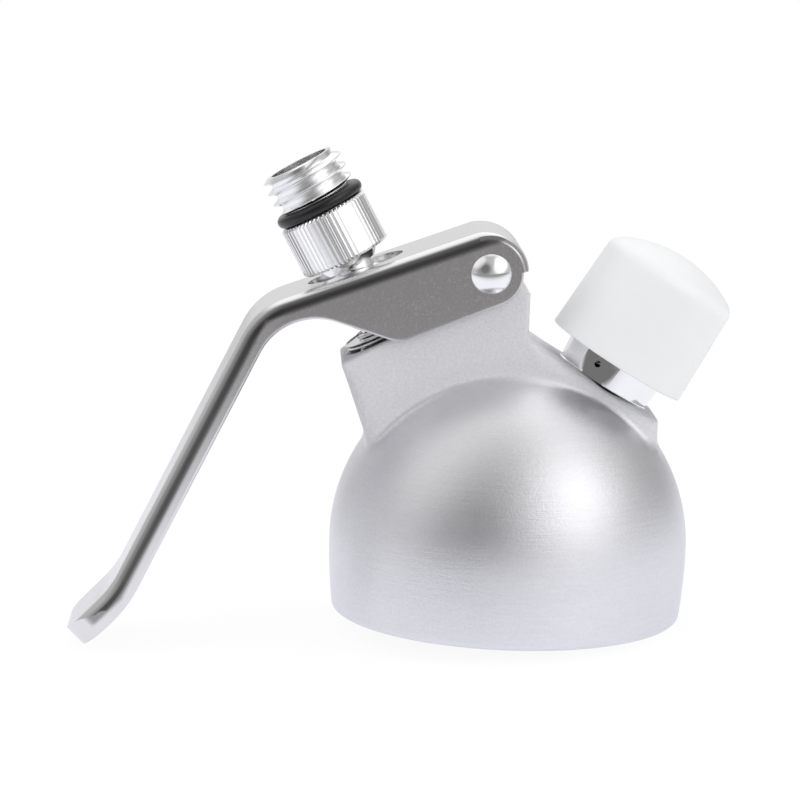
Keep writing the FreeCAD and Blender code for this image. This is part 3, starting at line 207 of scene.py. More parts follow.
class CREAM_PG_port(bpy.types.PropertyGroup):
    """Sizes of the charger port and its cap."""

    x: length("Port x", "Where the port's axis leaves the ridge, along X", 17.4)
    z: length("Port z", "Where the port's axis leaves the ridge, along Z", 46.1006)
    tilt: angle("Port tilt", "Lean of the port's axis to the right", 30.5)
    barrel_r: length("Barrel", "Radius of the port's visible barrel", 10.15)
    crest: length("Thread", "Crest radius of the port's thread", 9.95)
    pitch: length("Pitch", "Rise of the port's thread in one turn", 2)
    top: length("Height", "Height of the port above the ridge", 19)
    bore: length("Bore", "Radius of the charger neck's bore", 5.2)
    spigot_r: length("Spigot", "Radius of the port's threaded spigot", 7)
    boss: length("Port boss", "Depth of the port's boss inside the dome", 9)
    nut_w: length("Port nut", "Port nut across its flats", 18)
    nut_h: length("Port nut height", "Height of the port nut", 3.58)
    flat: length("Flat", "Distance from the port's axis to a wrench flat", 9.41)
    flat_turn: angle("Flat direction", "Direction of the front wrench flat", 247)
    cap_r: length("Cap", "Outer radius of the cap", 14.4)
    cap_wall: length("Cap wall", "Wall of the cap", 1.6)
    cap_h: length("Cap height", "Underside of the cap above the ridge", 4.9)
    cap_len: length("Cap length", "Height of the cap", 24.0)
    cap_crown: length("Cap crown", "Radius of the cap's crown", 25)
    cap_corner: length("Cap corner", "Rounding of the cap's shoulder", 3)
    cap_draft: length("Cap draft", "How much slimmer the cap is at its shoulder", 0.6)


class CREAM_PG_finish(bpy.types.PropertyGroup):
    """Colours and gloss of the finishes."""

    aluminium: colour("Aluminium", "Colour of the cast head", (0.80, 0.80, 0.825))
    lever: colour("Lever", "Colour of the lever's steel", (0.80, 0.79, 0.79))
    # The sides' darker colour is partly the blasted finish, partly painted reflection of the dark room.
    lever_side: colour("Lever sides", "Colour of the lever's blasted sides", (0.42, 0.405, 0.405))
    bright: colour("Bright metal", "Colour of the turned and plated pieces", (0.95, 0.95, 0.955))
    brass: colour("Brass", "Colour of the valve bush", (0.78, 0.58, 0.28))
    black: colour("Black rubber", "Colour of the black rings", (0.006, 0.006, 0.007))
    pale: colour("Silicone", "Colour of the pale seals", (0.72, 0.70, 0.66))
    plastic: colour("Cap plastic", "Colour of the cap", (0.865, 0.872, 0.885))
    nylon: colour("Nylon", "Colour of the pivot's washers", (0.86, 0.85, 0.80))
    dome_gloss: share("Dome roughness", "Roughness of the brushed dome", 0.34)
    ridge_gloss: share("Ridge roughness", "Roughness of the blasted ridge", 0.58)


class CREAM_PG_stage(bpy.types.PropertyGroup):
    """The camera and the light."""

    distance: length("Camera distance", "From the camera to the point it looks at", 600)
    azimuth: angle("Azimuth", "Camera's turn round the head", -2.4)
    elevation: angle("Elevation", "Camera's height above the horizon", 9.7)
    roll: angle("Roll", "Camera's roll", 2)
    lens: bpy.props.FloatProperty(name="Lens", description="Focal length", default=138.51, unit="CAMERA")
    key: share("Key light", "Brightness of the key light", 1.9)
    fill: share("Fill light", "Brightness of the fill light", 0.9)
    room: share("Room", "Brightness of the room round the head", 0.54)
    target_x: length("Target x", "Point that the camera looks at, along X", -22.05)
    target_z: length("Target z", "Point that the camera looks at, along Z", 41.25)


class Measures:
    """A property group's lengths in millimetres and its angles in radians."""

    def __init__(self, group):
        self.group = group

    def __getattr__(self, key):
        value = getattr(self.group, key)
        kind = self.group.bl_rna.properties[key].unit
        return value / MM if kind == "LENGTH" else value


def sizes(key):
    return Measures(getattr(bpy.context.scene, "cream_" + key))


# --- outlines -------------------------------------------------------------------------------------

ARC_STEP = math.radians(9)
STEP_SLACK = 1e-4  # an arc of a whole number of steps doesn't get one more


def arc_points(x, y, radius, start, stop, step=ARC_STEP):
    """Points of an arc about (x, y) from one angle to another."""
    steps = max(1, math.ceil(abs(stop - start) / step - STEP_SLACK))
    turns = [start + (stop - start) * k / steps for k in range(steps + 1)]
    return [(x + radius * math.cos(turn), y + radius * math.sin(turn)) for turn in turns]


def arc_to_axis(height, radius, start, step):
    """Points of an arc about a place on the axis, up to the axis itself."""
    points = arc_points(0, height, radius, start, math.pi / 2, step)
    points[-1] = (0, points[-1][1])
    return points


def rounded(corners, closed=True, step=ARC_STEP):
    """An outline's points; a corner is (x, y) or (x, y, rounding)."""
    points = []
    total = len(corners)
    for index, corner in enumerate(corners):
        here = Vector(corner[:2])
        radius = corner[2] if len(corner) > 2 else 0
        if not radius or (not closed and index in (0, total - 1)):
            points.append(tuple(here))
            continue
        before = (Vector(corners[index - 1][:2]) - here).normalized()
        after = (Vector(corners[(index + 1) % total][:2]) - here).normalized()
        half = before.angle(after) / 2
        centre = here + (before + after).normalized() * (radius / math.sin(half))
        first = here + before * (radius / math.tan(half)) - centre
        sweep = math.pi - 2 * half
        side = 1 if first.cross(-after) < 0 else -1
        start = math.atan2(first.y, first.x)
        points += arc_points(centre.x, centre.y, radius, start, start + side * sweep, step)
    return points


def tilted(x, z, tilt, up=0):
    """A place in the head's own plane: a point, a lean about Y and a rise along the leaning axis."""
    turned = Matrix.Translation((x, 0, z)) @ Matrix.Rotation(tilt, 4, "Y")
    return turned @ Matrix.Translation((0, 0, up))


def valve_place(up=0):
    valve = sizes("valve")
    return tilted(valve.x, valve.z, -valve.tilt, up)


def port_place(up=0):
    port = sizes("port")
    return tilted(port.x, port.z, port.tilt, up)


def pivot_place():
    """The pivot's place, its axis pointing to the back."""
    return tilted(PIVOT_X, PIVOT_Z, 0) @ Matrix.Rotation(math.pi / 2, 4, "X")


# --- shapes ---------------------------------------------------------------------------------------

WELD = 0.002


def tidy(bm, weld=WELD):
    """Doubles merged and faces turned outwards."""
    bmesh.ops.remove_doubles(bm, verts=bm.verts, dist=weld)
    bmesh.ops.recalc_face_normals(bm, faces=bm.faces)
    return bm


def placed(bm, place):
    bm.transform(place)
    return bm


def spun(bm, parts, steps, angle=TURN, rise=0.0, merge=False):
    """A section turned about Z, rising by so much from its start to its end."""
    bmesh.ops.spin(
        bm, geom=parts, cent=(0, 0, 0), axis=(0, 0, 1), dvec=(0, 0, rise / steps), angle=angle,
        steps=steps, use_merge=merge, use_normal_flip=False, use_duplicate=False,
    )


def lathe(profile, steps=96):
    """A profile of (radius, height) points turned about Z; its ends on the axis stay open."""
    bm = bmesh.new()
    verts = [bm.verts.new((radius, 0, height)) for radius, height in profile]
    pairs = list(zip(verts, verts[1:]))
    if profile[0][0] > 0 or profile[-1][0] > 0:
        pairs.append((verts[-1], verts[0]))
    edges = [bm.edges.new(pair) for pair in pairs]
    spun(bm, verts + edges, steps, merge=True)
    return tidy(bm)


def extruded(points, way):
    """A flat outline of points in space, carried along a vector."""
    bm = bmesh.new()
    face = bm.faces.new([bm.verts.new(point) for point in points])
    raised = bmesh.ops.extrude_face_region(bm, geom=[face])
    verts = [item for item in raised["geom"] if isinstance(item, bmesh.types.BMVert)]
    bmesh.ops.translate(bm, verts=verts, vec=way)
    return tidy(bm)


def prism(outline, half, y=0):
    """An outline in X and Z, as thick to both sides of y."""
    return extruded([(x, y - half, z) for x, z in outline], (0, 2 * half, 0))


def column(outline, low, high):
    """An outline in X and Y, from one height to another."""
    return extruded([(x, y, low) for x, y in outline], (0, 0, high - low))


def rod(radius, low, high, steps=64):
    return lathe([(0, low), (radius, low), (radius, high), (0, high)], steps)


def washer(inner, outer, low, high, soft=0, steps=96):
    """A flat ring with the corners of its outer side rounded."""
    outline = [(inner, low), (outer, low, soft), (outer, high, soft), (inner, high)]
    return lathe(rounded(outline), steps)


def pivot_hole(radius, half):
    """A round hole's tool along the pivot's axis."""
    return placed(rod(radius, -half, half), pivot_place())


def spoke(radius, start, reach, height, turn):
    """A round hole's tool that points away from the axis."""
    lay = Matrix.Rotation(turn, 4, "Z") @ Matrix.Rotation(math.pi / 2, 4, "Y")
    return placed(rod(radius, start, start + reach, steps=32), Matrix.Translation((0, 0, height)) @ lay)


def screw(tooth, pitch, low, high, steps=72, limit=None):
    """A closed screw: the outline of one pitch carried up as a helix, cut flat at both heights."""
    bm = bmesh.new()
    start = low - 1.5 * pitch
    turns = math.ceil((high - low) / pitch) + 3
    points = [(radius, start + height + k * pitch) for k in range(turns) for radius, height in tooth]
    verts = [bm.verts.new((radius, 0, height)) for radius, height in points]
    edges = [bm.edges.new(pair) for pair in zip(verts, verts[1:])]
    spun(bm, verts + edges, steps, rise=pitch)
    bmesh.ops.remove_doubles(bm, verts=bm.verts, dist=WELD)
    for height, up in ((low, False), (high, True)):
        bmesh.ops.bisect_plane(
            bm, geom=bm.verts[:] + bm.edges[:] + bm.faces[:], dist=1e-5, plane_co=(0, 0, height),
            plane_no=(0, 0, 1), clear_outer=up, clear_inner=not up,
        )
    if limit:
        for vert in bm.verts:
            radius = math.hypot(vert.co.x, vert.co.y)
            allowed = limit(vert.co.z)
            if radius > allowed:
                vert.co.xy *= allowed / radius
    bmesh.ops.holes_fill(bm, edges=bm.edges, sides=0)
    return tidy(bm)


def linked(name, data):
    item = bpy.data.objects.new(name, data)
    bpy.context.scene.collection.objects.link(item)
    return item


def loose(bm, name="passing"):
    """An object that holds a shape; the shape is spent."""
    mesh = bpy.data.meshes.new(name)
    bm.to_mesh(mesh)
    bm.free()
    return linked(name, mesh)


def applied(item):
    """The shape of an object with its modifiers; the object is spent."""
    graph = bpy.context.evaluated_depsgraph_get()
    mesh = bpy.data.meshes.new_from_object(item.evaluated_get(graph))
    bm = bmesh.new()
    bm.from_mesh(mesh)
    old = item.data
    bpy.data.objects.remove(item)
    bpy.data.meshes.remove(old)
    bpy.data.meshes.remove(mesh)
    return bm


def closed(bm):
    """Whether a shape has no open edge, as the quick combining needs."""
    return all(len(edge.link_faces) == 2 for edge in bm.edges)


def combined(bm, tool, operation="DIFFERENCE"):
    """A shape with another cut away, added or kept in common."""
    solver = "MANIFOLD" if closed(bm) and closed(tool) else "EXACT"
    base = loose(bm)
    other = loose(tool)
    step = base.modifiers.new("combine", "BOOLEAN")
    step.operation = operation
    step.object = other
    step.solver = solver
    result = applied(base)
    old = other.data
    bpy.data.objects.remove(other)
    bpy.data.meshes.remove(old)
    bmesh.ops.remove_doubles(result, verts=result.verts, dist=WELD)
    bmesh.ops.dissolve_degenerate(result, dist=WELD, edges=result.edges)
    return result


def added(shapes):
    whole = shapes[0]
    for shape in shapes[1:]:
        whole = combined(whole, shape, "UNION")
    return whole


def finished(name, bm, body, nodes, material, place=None, sharp=32, weighted=True):
    """The piece itself: placed, in metres, smooth with its sharp edges kept, riding on its body."""
    if place is not None:
        bm.transform(place)
    for face in bm.faces:
        face.smooth = True
    for edge in bm.edges:
        if len(edge.link_faces) == 2:
            edge.smooth = edge.calc_face_angle(0) < math.radians(sharp)
    item = loose(placed(bm, Matrix.Scale(MM, 4)), name)
    item.data.materials.append(material)
    if weighted:
        normals = item.modifiers.new("even shading", "WEIGHTED_NORMAL")
        normals.keep_sharp = True
    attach(item, body)
    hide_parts(*nodes)
    return item


# --- shading --------------------------------------------------------------------------------------

class Wire:
    """A socket whose arithmetic adds Math nodes."""

    def __init__(self, shade, socket):
        self.shade = shade
        self.socket = socket

    def maths(self, operation, *others):
        return self.shade.node("ShaderNodeMath", {"operation": operation}, (self, *others))

    def __add__(self, other):
        return self.maths("ADD", other)

    def __sub__(self, other):
        return self.maths("SUBTRACT", other)

    def __mul__(self, other):
        return self.maths("MULTIPLY", other)

    def __truediv__(self, other):
        return self.maths("DIVIDE", other)

    def __pow__(self, other):
        return self.maths("POWER", other)

    def __rsub__(self, other):
        return self.shade.node("ShaderNodeMath", {"operation": "SUBTRACT"}, (other, self))

    __radd__ = __add__
    __rmul__ = __mul__


class Shade:
    """The nodes of a material, or of another owner of nodes, under construction."""

    def __init__(self, name, owner=None):
        self.material = owner or bpy.data.materials.new(name)
        self.material.use_nodes = True
        self.tree = self.material.node_tree
        self.tree.nodes.clear()

    def node(self, kind, settings=None, inputs=(), output=0):
        """A node with its settings first, then the values or links of its sockets."""
        node = self.tree.nodes.new(kind)
        for key, value in (settings or {}).items():
            setattr(node, key, value)
        pairs = inputs.items() if isinstance(inputs, dict) else enumerate(inputs)
        for key, value in pairs:
            if isinstance(value, Wire):
                self.tree.links.new(value.socket, node.inputs[key])
            else:
                node.inputs[key].default_value = value
        return Wire(self, node.outputs[output]) if len(node.outputs) else None

    def local(self, place=Matrix()):
        """Object coordinates in millimetres about a place."""
        where = self.node("ShaderNodeTexCoord", output=3)
        spin = place.to_euler()
        scale = (MM, MM, MM)
        inputs = {"Vector": where, "Location": place.translation * MM, "Rotation": spin, "Scale": scale}
        return self.node("ShaderNodeMapping", {"vector_type": "TEXTURE"}, inputs)

    def split(self, vector):
        first = self.node("ShaderNodeSeparateXYZ", {}, (vector,))
        outputs = first.socket.node.outputs
        return [Wire(self, outputs[index]) for index in range(3)]

    def join(self, x, y, z):
        return self.node("ShaderNodeCombineXYZ", {}, (x, y, z))

    def noise(self, vector, scale, detail=2.0, roughness=0.5):
        inputs = {"Vector": vector, "Scale": scale, "Detail": detail, "Roughness": roughness}
        return self.node("ShaderNodeTexNoise", {}, inputs)

    def ramp(self, value, low, high, first=0.0, last=1.0):
        """A smooth change from one value to another."""
        smooth = {"interpolation_type": "SMOOTHSTEP"}
        return self.node("ShaderNodeMapRange", smooth, (value, low, high, first, last))

    def towards(self, way, azimuth, elevation, low, high):
        """How far a direction points the same way as another."""
        other = tuple(direction(azimuth, elevation))
        facing = self.node("ShaderNodeVectorMath", {"operation": "DOT_PRODUCT"}, (way, other), 1)
        return self.ramp(facing, low, high)

    def rays(self):
        """Whether light goes to the camera, and whether it goes to a mirror."""
        outputs = self.node("ShaderNodeLightPath").socket.node.outputs
        return Wire(self, outputs["Is Camera Ray"]), Wire(self, outputs["Is Glossy Ray"])

    def mixed(self, factor, first, second):
        """One colour changing to another."""
        return self.node("ShaderNodeMix", {"data_type": "RGBA"}, {0: factor, 6: first, 7: second}, 2)

    def bump(self, height, depth, normal=None):
        """A relief whose height of 1 is depth millimetres."""
        inputs = {"Strength": 1.0, "Distance": MM, "Height": height * depth}
        if normal:
            inputs["Normal"] = normal
        return self.node("ShaderNodeBump", {}, inputs)

    def surface(self, **sockets):
        inputs = {key.replace("_", " "): value for key, value in sockets.items()}
        shader = self.node("ShaderNodeBsdfPrincipled", {}, inputs)
        self.node("ShaderNodeOutputMaterial", {}, {"Surface": shader})
        return self.material


def rgba(rgb, gain=1.0):
    return tuple(channel * gain for channel in rgb) + (1.0,)


def brushed_head():
    """Cast aluminium: brushed round the dome, blasted on the ridge."""
    look = sizes("finish")
    head = sizes("head")
    shade = Shade("brushed_head")
    spot = shade.local()
    x, y, z = shade.split(spot)
    rho = (x * x + y * y) ** 0.5
    up = z - head.dome_z
    clear = up.maths("MAXIMUM", 0.0)
    out = (rho * rho + clear * clear) ** 0.5
    ridge = shade.ramp(out, head.dome_r + 0.3, head.dome_r + 1.3)
    arc = rho.maths("ARCTAN2", up) * head.dome_r
    fine = shade.noise(shade.join(x * 0.14, y * 0.14, arc * 2.8), 1.0, 3.0, 0.7)
    long = shade.noise(shade.join(x * 0.07, y * 0.07, arc * 1.3), 1.0, 4.0, 0.75)
    grain = shade.noise(spot, 1.7, 5.0, 0.85)
    cloud = shade.noise(spot, 0.12, 3.0, 0.5)
    mottled = shade.ramp(shade.noise(spot, 0.07, 2.0, 0.5), 0.35, 0.65, 0.45, 1.0)
    lines = (fine * 0.6 + long * 0.4 - 0.5) * mottled * (1 - ridge)
    speck = grain - 0.5
    rough = look.dome_gloss + ridge * (look.ridge_gloss - look.dome_gloss) + lines * 0.16
    rough = rough + (cloud - 0.5) * 0.08
    tone = lines * 0.5 + speck * (ridge * 0.7 + 0.6) + 0.5
    tint = shade.mixed(tone, rgba(look.aluminium, 0.80), rgba(look.aluminium, 1.20))
    relief = shade.bump(lines, 0.06)
    relief = shade.bump(speck, ridge * 0.12 + 0.06, relief)
    return shade.surface(
        Base_Color=tint, Metallic=1 - ridge * 0.55, Roughness=rough, Normal=relief, Anisotropic=0.5,
        Anisotropic_Rotation=0.25,
    )


def machined_inside():
    """Turned aluminium inside the dome."""
    look = sizes("finish")
    shade = Shade("machined_inside")
    x, y, z = shade.split(shade.local())
    rho = (x * x + y * y) ** 0.5
    rings = shade.noise(shade.join(rho * 2.5, z * 2.5, 0.0), 1.0, 2.0, 0.5)
    relief = shade.bump(rings, 0.02)
    return shade.surface(
        Base_Color=rgba(look.aluminium), Metallic=1.0, Roughness=rings * 0.15 + 0.25, Normal=relief
    )


def turned_metal(name, rgb, place, rough=0.16, grooves=0.010, pitch=3.0):
    """Bright turned metal with fine rings about its own axis."""
    shade = Shade(name)
    spot = shade.local(place)
    x, y, z = shade.split(spot)
    rho = (x * x + y * y) ** 0.5
    rings = shade.noise(shade.join(rho * pitch, z * pitch, 0.0), 1.0, 2.0, 0.6)
    smear = shade.noise(spot, 0.35, 2.0, 0.5)
    gloss = rings * 0.10 + smear * 0.08 + (rough - 0.09)
    relief = shade.bump(rings, grooves)
    return shade.surface(Base_Color=rgba(rgb), Metallic=1.0, Roughness=gloss, Normal=relief)


def lever_finish():
    """Steel sheet: satin on the web, blasted on the sides, with painted reflection and shade on the bends and
    cheeks.
    """
    look = sizes("finish")
    lever = sizes("lever")
    lines = LeverLines()
    half = lever.width / 2
    shade = Shade("lever_finish")
    spot = shade.local()
    x, y, z = shade.split(spot)
    out = y.maths("ABSOLUTE")
    side = shade.ramp(out, half - 0.14, half - 0.01)
    sparkle = shade.noise(spot, 2.0, 4.0, 0.85)
    fog = shade.noise(spot, 0.15, 3.0, 0.5)
    # The cheeks near the pivot take the darker side colour: partly the blasted finish, partly painted
    # reflection of the dark room in front. The bright flecks are painted glints.
    cheek = side * shade.ramp(x, -60.0, -42.0)
    glint = shade.ramp(sparkle, 0.52, 0.80)
    mottled = shade.mixed(glint, rgba(look.lever_side), rgba(look.lever, 0.85))
    tint = shade.mixed(cheek, rgba(look.lever), mottled)
    # Painted reflection and shade: a dark band along the long bends, where the sheet would mirror the dark
    # room in front, darker still towards the handle's tip.
    web = lines.depth(x, z, lever.knee_x, lines.knee_z, lever.web_slope)
    handle = lines.depth(x, z, lever.knee_x, lines.knee_z, lever.handle_slope)
    curl = lines.depth(x, z, lever.curl_x, lines.curl_z, lever.curl_slope)
    depth = web.maths("MINIMUM", handle.maths("MAXIMUM", curl))
    painted_band = shade.ramp(out, half - lever.bend * 0.50, half - lever.bend * 0.20)
    painted_band = painted_band * (1 - shade.ramp(depth, lever.bend * 0.8, lever.bend * 1.15))
    shadow = shade.mixed(shade.ramp(x, -62.0, -44.0), rgba(look.lever, 0.42), rgba(look.lever, 0.20))
    tint = shade.mixed(painted_band, tint, shadow)
    rough = cheek * 0.16 + 0.20 + (fog - 0.5) * 0.08 + (sparkle - 0.5) * cheek * 0.16
    relief = shade.bump(sparkle, cheek * 0.07 + 0.004)
    return shade.surface(Base_Color=tint, Metallic=1.0, Roughness=rough, Normal=relief)


def rubber(name, rgb, rough):
    shade = Shade(name)
    spot = shade.local()
    skin = shade.noise(spot, 3.0, 3.0, 0.6)
    dust = shade.noise(spot, 0.5, 2.0, 0.5)
    tint = shade.mixed(dust, rgba(rgb, 0.85), rgba(rgb, 1.25))
    return shade.surface(
        Base_Color=tint, Roughness=(skin - 0.5) * 0.12 + rough, Normal=shade.bump(skin, 0.008)
    )


def plastic(name, rgb, rough, glow=0.0):
    shade = Shade(name)
    spot = shade.local()
    skin = shade.noise(spot, 1.2, 3.0, 0.6)
    flow = shade.noise(spot, 0.10, 2.0, 0.5)
    tint = shade.mixed(flow, rgba(rgb, 0.985), rgba(rgb, 1.015))
    extra = {}
    if glow:
        extra = {"Subsurface_Weight": glow, "Subsurface_Radius": (1.0, 1.0, 1.0), "Subsurface_Scale": 3 * MM}
    return shade.surface(
        Base_Color=tint, Roughness=(skin - 0.5) * 0.08 + rough, Normal=shade.bump(skin, 0.006), **extra
    )


# --- the head casting -----------------------------------------------------------------------------

def both(first, second, radius):
    """Depth below two surfaces at once, their shared edge rounded."""
    inside = np.minimum(np.maximum(first, second), -radius)
    return inside + np.hypot(np.maximum(first + radius, 0), np.maximum(second + radius, 0))


def either(first, second, radius):
    """Depth below either surface, the corner between them filleted."""
    outside = np.maximum(np.minimum(first, second), radius)
    return outside - np.hypot(np.maximum(radius - first, 0), np.maximum(radius - second, 0))


def outline_gap(points, outline):
    """Signed distance of points in a plane to a closed outline."""
    best = np.full(len(points), 1e9)
    inside = np.zeros(len(points), bool)
    px, py = points[:, 0], points[:, 1]
    for (ax, ay), (bx, by) in zip(outline, outline[1:] + outline[:1]):
        run, rise = bx - ax, by - ay
        along = np.clip(((px - ax) * run + (py - ay) * rise) / (run * run + rise * rise), 0, 1)
        best = np.minimum(best, np.hypot(px - ax - along * run, py - ay - along * rise))
        if ay != by:
            crossed = (ay > py) != (by > py)
            inside ^= crossed & (px < ax + (py - ay) * run / rise)
    return np.where(inside, -best, best)


def split_wide_faces(bm):
    """Triangles in place of every face with more than four corners."""
    bmesh.ops.triangulate(bm, faces=[face for face in bm.faces if len(face.verts) > 4])


CELL = 0.6
MACHINED_FROM = 0.12  # faces further than this from the cast surface are cut ones
CAST_WELD = 0.02
FINE_FROM = math.radians(14)  # bends from here on get a finer mesh


class Casting:
    """The outside of the cast head as a depth below its surface."""

    def __init__(self):
        self.head = sizes("head")
        self.valve = sizes("valve")
        self.port = sizes("port")
        head, valve, port = self.head, self.valve, self.port
        self.face_x = valve.x - valve.reach * math.cos(valve.tilt)
        self.face_z = valve.z - valve.reach * math.sin(valve.tilt)
        self.end_z = port.z - (head.ridge_end - port.x) * math.tan(port.tilt)
        self.outline = self.ridge_outline()

    def ridge_outline(self):
        """The ridge seen from the front: valve face, pivot boss, port face."""
        head, valve, port = self.head, self.valve, self.port
        foot_z = head.dome_z + 10
        foot_x = self.face_x + (self.face_z - foot_z) * math.tan(head.ridge_lean)
        drop = PIVOT_Z - head.shoulder_z
        back_z = port.z + (port.x - head.ridge_back) * math.tan(port.tilt)
        boss_left = PIVOT_X - head.boss_r
        neck_z = valve.z + (boss_left - valve.x) * math.tan(valve.tilt)
        boss = arc_points(PIVOT_X, PIVOT_Z, head.boss_r, -math.asin(drop / head.boss_r), math.pi)
        corners = [
            (foot_x, foot_z),
            (head.ridge_end - 4, foot_z),
            (head.ridge_end, foot_z + 4),
            (head.ridge_end, self.end_z, 0.8),
            (head.ridge_back, back_z, 3),
            (head.ridge_back, head.shoulder_z, 0.5),
            *boss,
            (boss_left, neck_z, 3),
            (self.face_x, self.face_z, 0.8),
        ]
        return rounded(corners)

    def dome_gap(self, points):
        """The depth below the dome, its skirt and its flat rim."""
        head = self.head
        rho = np.hypot(points[:, 0], points[:, 1])
        up = points[:, 2] - head.dome_z
        ball = np.hypot(rho, up) - head.dome_r
        skirt = np.hypot(rho + head.skirt_curve - head.dome_r, up) - head.skirt_curve
        return both(np.where(up > 0, ball, skirt), -points[:, 2], head.rim_round)

    def ridge_gap(self, points):
        """The ridge's depth; its ends and its port face have rounder edges than the rest."""
        head = self.head
        x, z = points[:, 0], points[:, 2]
        left = np.clip((self.face_z - 0.3 - z) / 3, 0, 1) * (x < -10)
        right = np.clip((self.end_z - 0.3 - z) / 2, 0, 1) * (x > 15)
        port = np.clip((x - head.ridge_back) / 4, 0, 1) * (1 - right)
        rounding = head.edge_round + (head.end_round - head.edge_round) * (left + right)
        rounding += (head.port_round - head.edge_round) * port
        seen = outline_gap(points[:, (0, 2)], self.outline)
        return both(seen, np.abs(points[:, 1]) - head.ridge_w / 2, rounding)

    def gap(self, points):
        """The depth below the whole casting."""
        return either(self.dome_gap(points), self.ridge_gap(points), self.head.fillet)

    def slope(self, points):
        """The direction in which the depth grows, and how fast."""
        step = 0.01
        here = self.gap(points)
        moved = [self.gap(points + step * axis) for axis in np.eye(3)]
        return here, (np.stack(moved, 1) - here[:, None]) / step

    def settle(self, bm, rounds):
        """Bring every vertex onto the surface."""
        points = np.array([vert.co for vert in bm.verts])
        for _ in range(rounds):
            here, slope = self.slope(points)
            size = np.maximum((slope * slope).sum(1), 0.05)
            points -= (here / size)[:, None] * slope
        for vert, point in zip(bm.verts, points):
            vert.co = point

    def rough_shape(self, voxel):
        """The dome and the ridge joined in small cells."""
        head = self.head
        skirt_x = head.dome_r - head.skirt_curve
        low = math.asin(-head.dome_z / head.skirt_curve)
        skirt = arc_points(skirt_x, head.dome_z, head.skirt_curve, low, 0, math.radians(1))
        ball = arc_to_axis(head.dome_z, head.dome_r, 0, math.radians(4))
        whole = lathe([(0, 0)] + skirt + ball[1:], 128)
        slab = prism(self.outline, head.ridge_w / 2)
        joined = loose(combined(whole, slab, "UNION"))
        cells = joined.modifiers.new("cells", "REMESH")
        cells.mode = "VOXEL"
        cells.voxel_size = voxel
        return applied(joined)

    def shape(self):
        """The casting's outside, in a finer mesh where it bends."""
        bm = self.rough_shape(CELL)
        self.settle(bm, 4)
        bm.normal_update()
        bent = [edge for edge in bm.edges if edge.calc_face_angle(0) > FINE_FROM]
        verts = {vert for edge in bent for vert in edge.verts}
        close = [edge for edge in bm.edges if edge.verts[0] in verts and edge.verts[1] in verts]
        bmesh.ops.subdivide_edges(bm, edges=close, cuts=1, use_grid_fill=True)
        split_wide_faces(bm)
        self.settle(bm, 3)
        bmesh.ops.remove_doubles(bm, verts=bm.verts, dist=CAST_WELD)
        bmesh.ops.recalc_face_normals(bm, faces=bm.faces)
        return bm


def dome_hollow():
    """The dome's inside, less its two bosses, with the grooves of the bottle thread."""
    head = sizes("head")
    valve = sizes("valve")
    port = sizes("port")
    inner = head.dome_r - head.dome_wall
    relief = head.bottle_r + head.bottle_depth + 0.5
    top = math.asin(head.throat_r / inner)
    ball = arc_to_axis(head.dome_z, inner, math.pi / 2 - top, math.radians(5))
    profile = rounded([
        (0, -2),
        (head.bottle_r + 3.2, -2),
        (head.bottle_r, 1.2),
        (head.bottle_r, head.bottle_top),
        (relief, head.bottle_top + 0.8),
        (relief, head.seat_z, 0.4),
        (head.throat_r, head.seat_z, 0.3),
    ], closed=False) + ball
    hollow = lathe(profile, 144)
    for radius, thick, place in (
        (valve.bush_r + 3, 10, valve_place(-valve.boss_depth)),
        (port.spigot_r + 3, 6, port_place(-port.boss)),
    ):
        hollow = combined(hollow, placed(rod(radius, 0, thick), place))
    half = head.bottle_pitch / 2
    root = head.bottle_r - 0.6
    crest = head.bottle_r + head.bottle_depth
    tooth = [(root, -half + 0.2), (root, -0.9), (crest, -0.25), (crest, 0.25), (root, 0.9)]
    teeth = screw(tooth, head.bottle_pitch, -1, head.bottle_top + 0.4)
    return combined(hollow, teeth, "UNION")


def valve_bore():
    """The valve's pocket with its wide mouth, the bush's hole and the spot face round it."""
    valve = sizes("valve")
    guide = valve.stem_r + 0.5
    shelf = valve.pocket_depth + 1.2
    deep = valve.boss_depth
    spot_r = valve.bush_r + 2
    bore = lathe(rounded([
        (0, 9),
        (valve.mouth_r + 0.35, 9),
        (valve.mouth_r + 0.35, 0.01),
        (valve.mouth_r, -0.35),
        (valve.mouth_r, -valve.mouth_depth),
        (valve.pocket_r, -valve.mouth_depth),
        (valve.pocket_r, -valve.pocket_depth),
        (guide, -valve.pocket_depth),
        (guide, -shelf),
        (valve.bush_r, -shelf),
        (valve.bush_r, -deep),
        (spot_r, -deep),
        (spot_r, -deep - 6),
        (0, -deep - 6),
    ]))
    return placed(bore, valve_place())


def port_bore():
    """The port's hole with the O-ring's seat, and the spot face under the nut."""
    port = sizes("port")
    hole = port.spigot_r + RUNNING_FIT
    seat = hole + 1.65
    deep = port.boss
    spot_r = port.nut_w / 2 / math.cos(math.pi / 6) + 0.4
    bore = lathe([
        (0, 2),
        (seat, 2),
        (seat, -1.5),
        (hole, -1.5),
        (hole, -deep),
        (spot_r, -deep),
        (spot_r, -deep - 7),
        (0, -deep - 7),
    ])
    return placed(bore, port_place())


class CREAM_OT_head(bpy.types.Operator):
    """Add the cast dome with the ridge that carries valve, pivot and port."""

    bl_idname = "cream.head"
    bl_label = "Head casting"

    def execute(self, context):
        casting = Casting()
        eye = pivot_hole(sizes("lever").rivet_r + RUNNING_FIT, sizes("head").ridge_w)
        bm = combined(casting.shape(), added([dome_hollow(), valve_bore(), port_bore(), eye]))
        split_wide_faces(bm)
        bm.faces.ensure_lookup_table()
        centres = np.array([face.calc_center_median() for face in bm.faces])
        inside = np.abs(casting.gap(centres)) > MACHINED_FROM
        for face, within in zip(bm.faces, inside):
            face.material_index = int(within)
        skin = brushed_head()
        item = finished(
            "head_casting", bm, "head", ["head_body"], skin, sharp=50, weighted=False
        )
        item.data.materials.append(machined_inside())
        return {"FINISHED"}


# --- the valve ------------------------------------------------------------------------------------

COIL_STEPS = 40  # sections in one turn of the spring


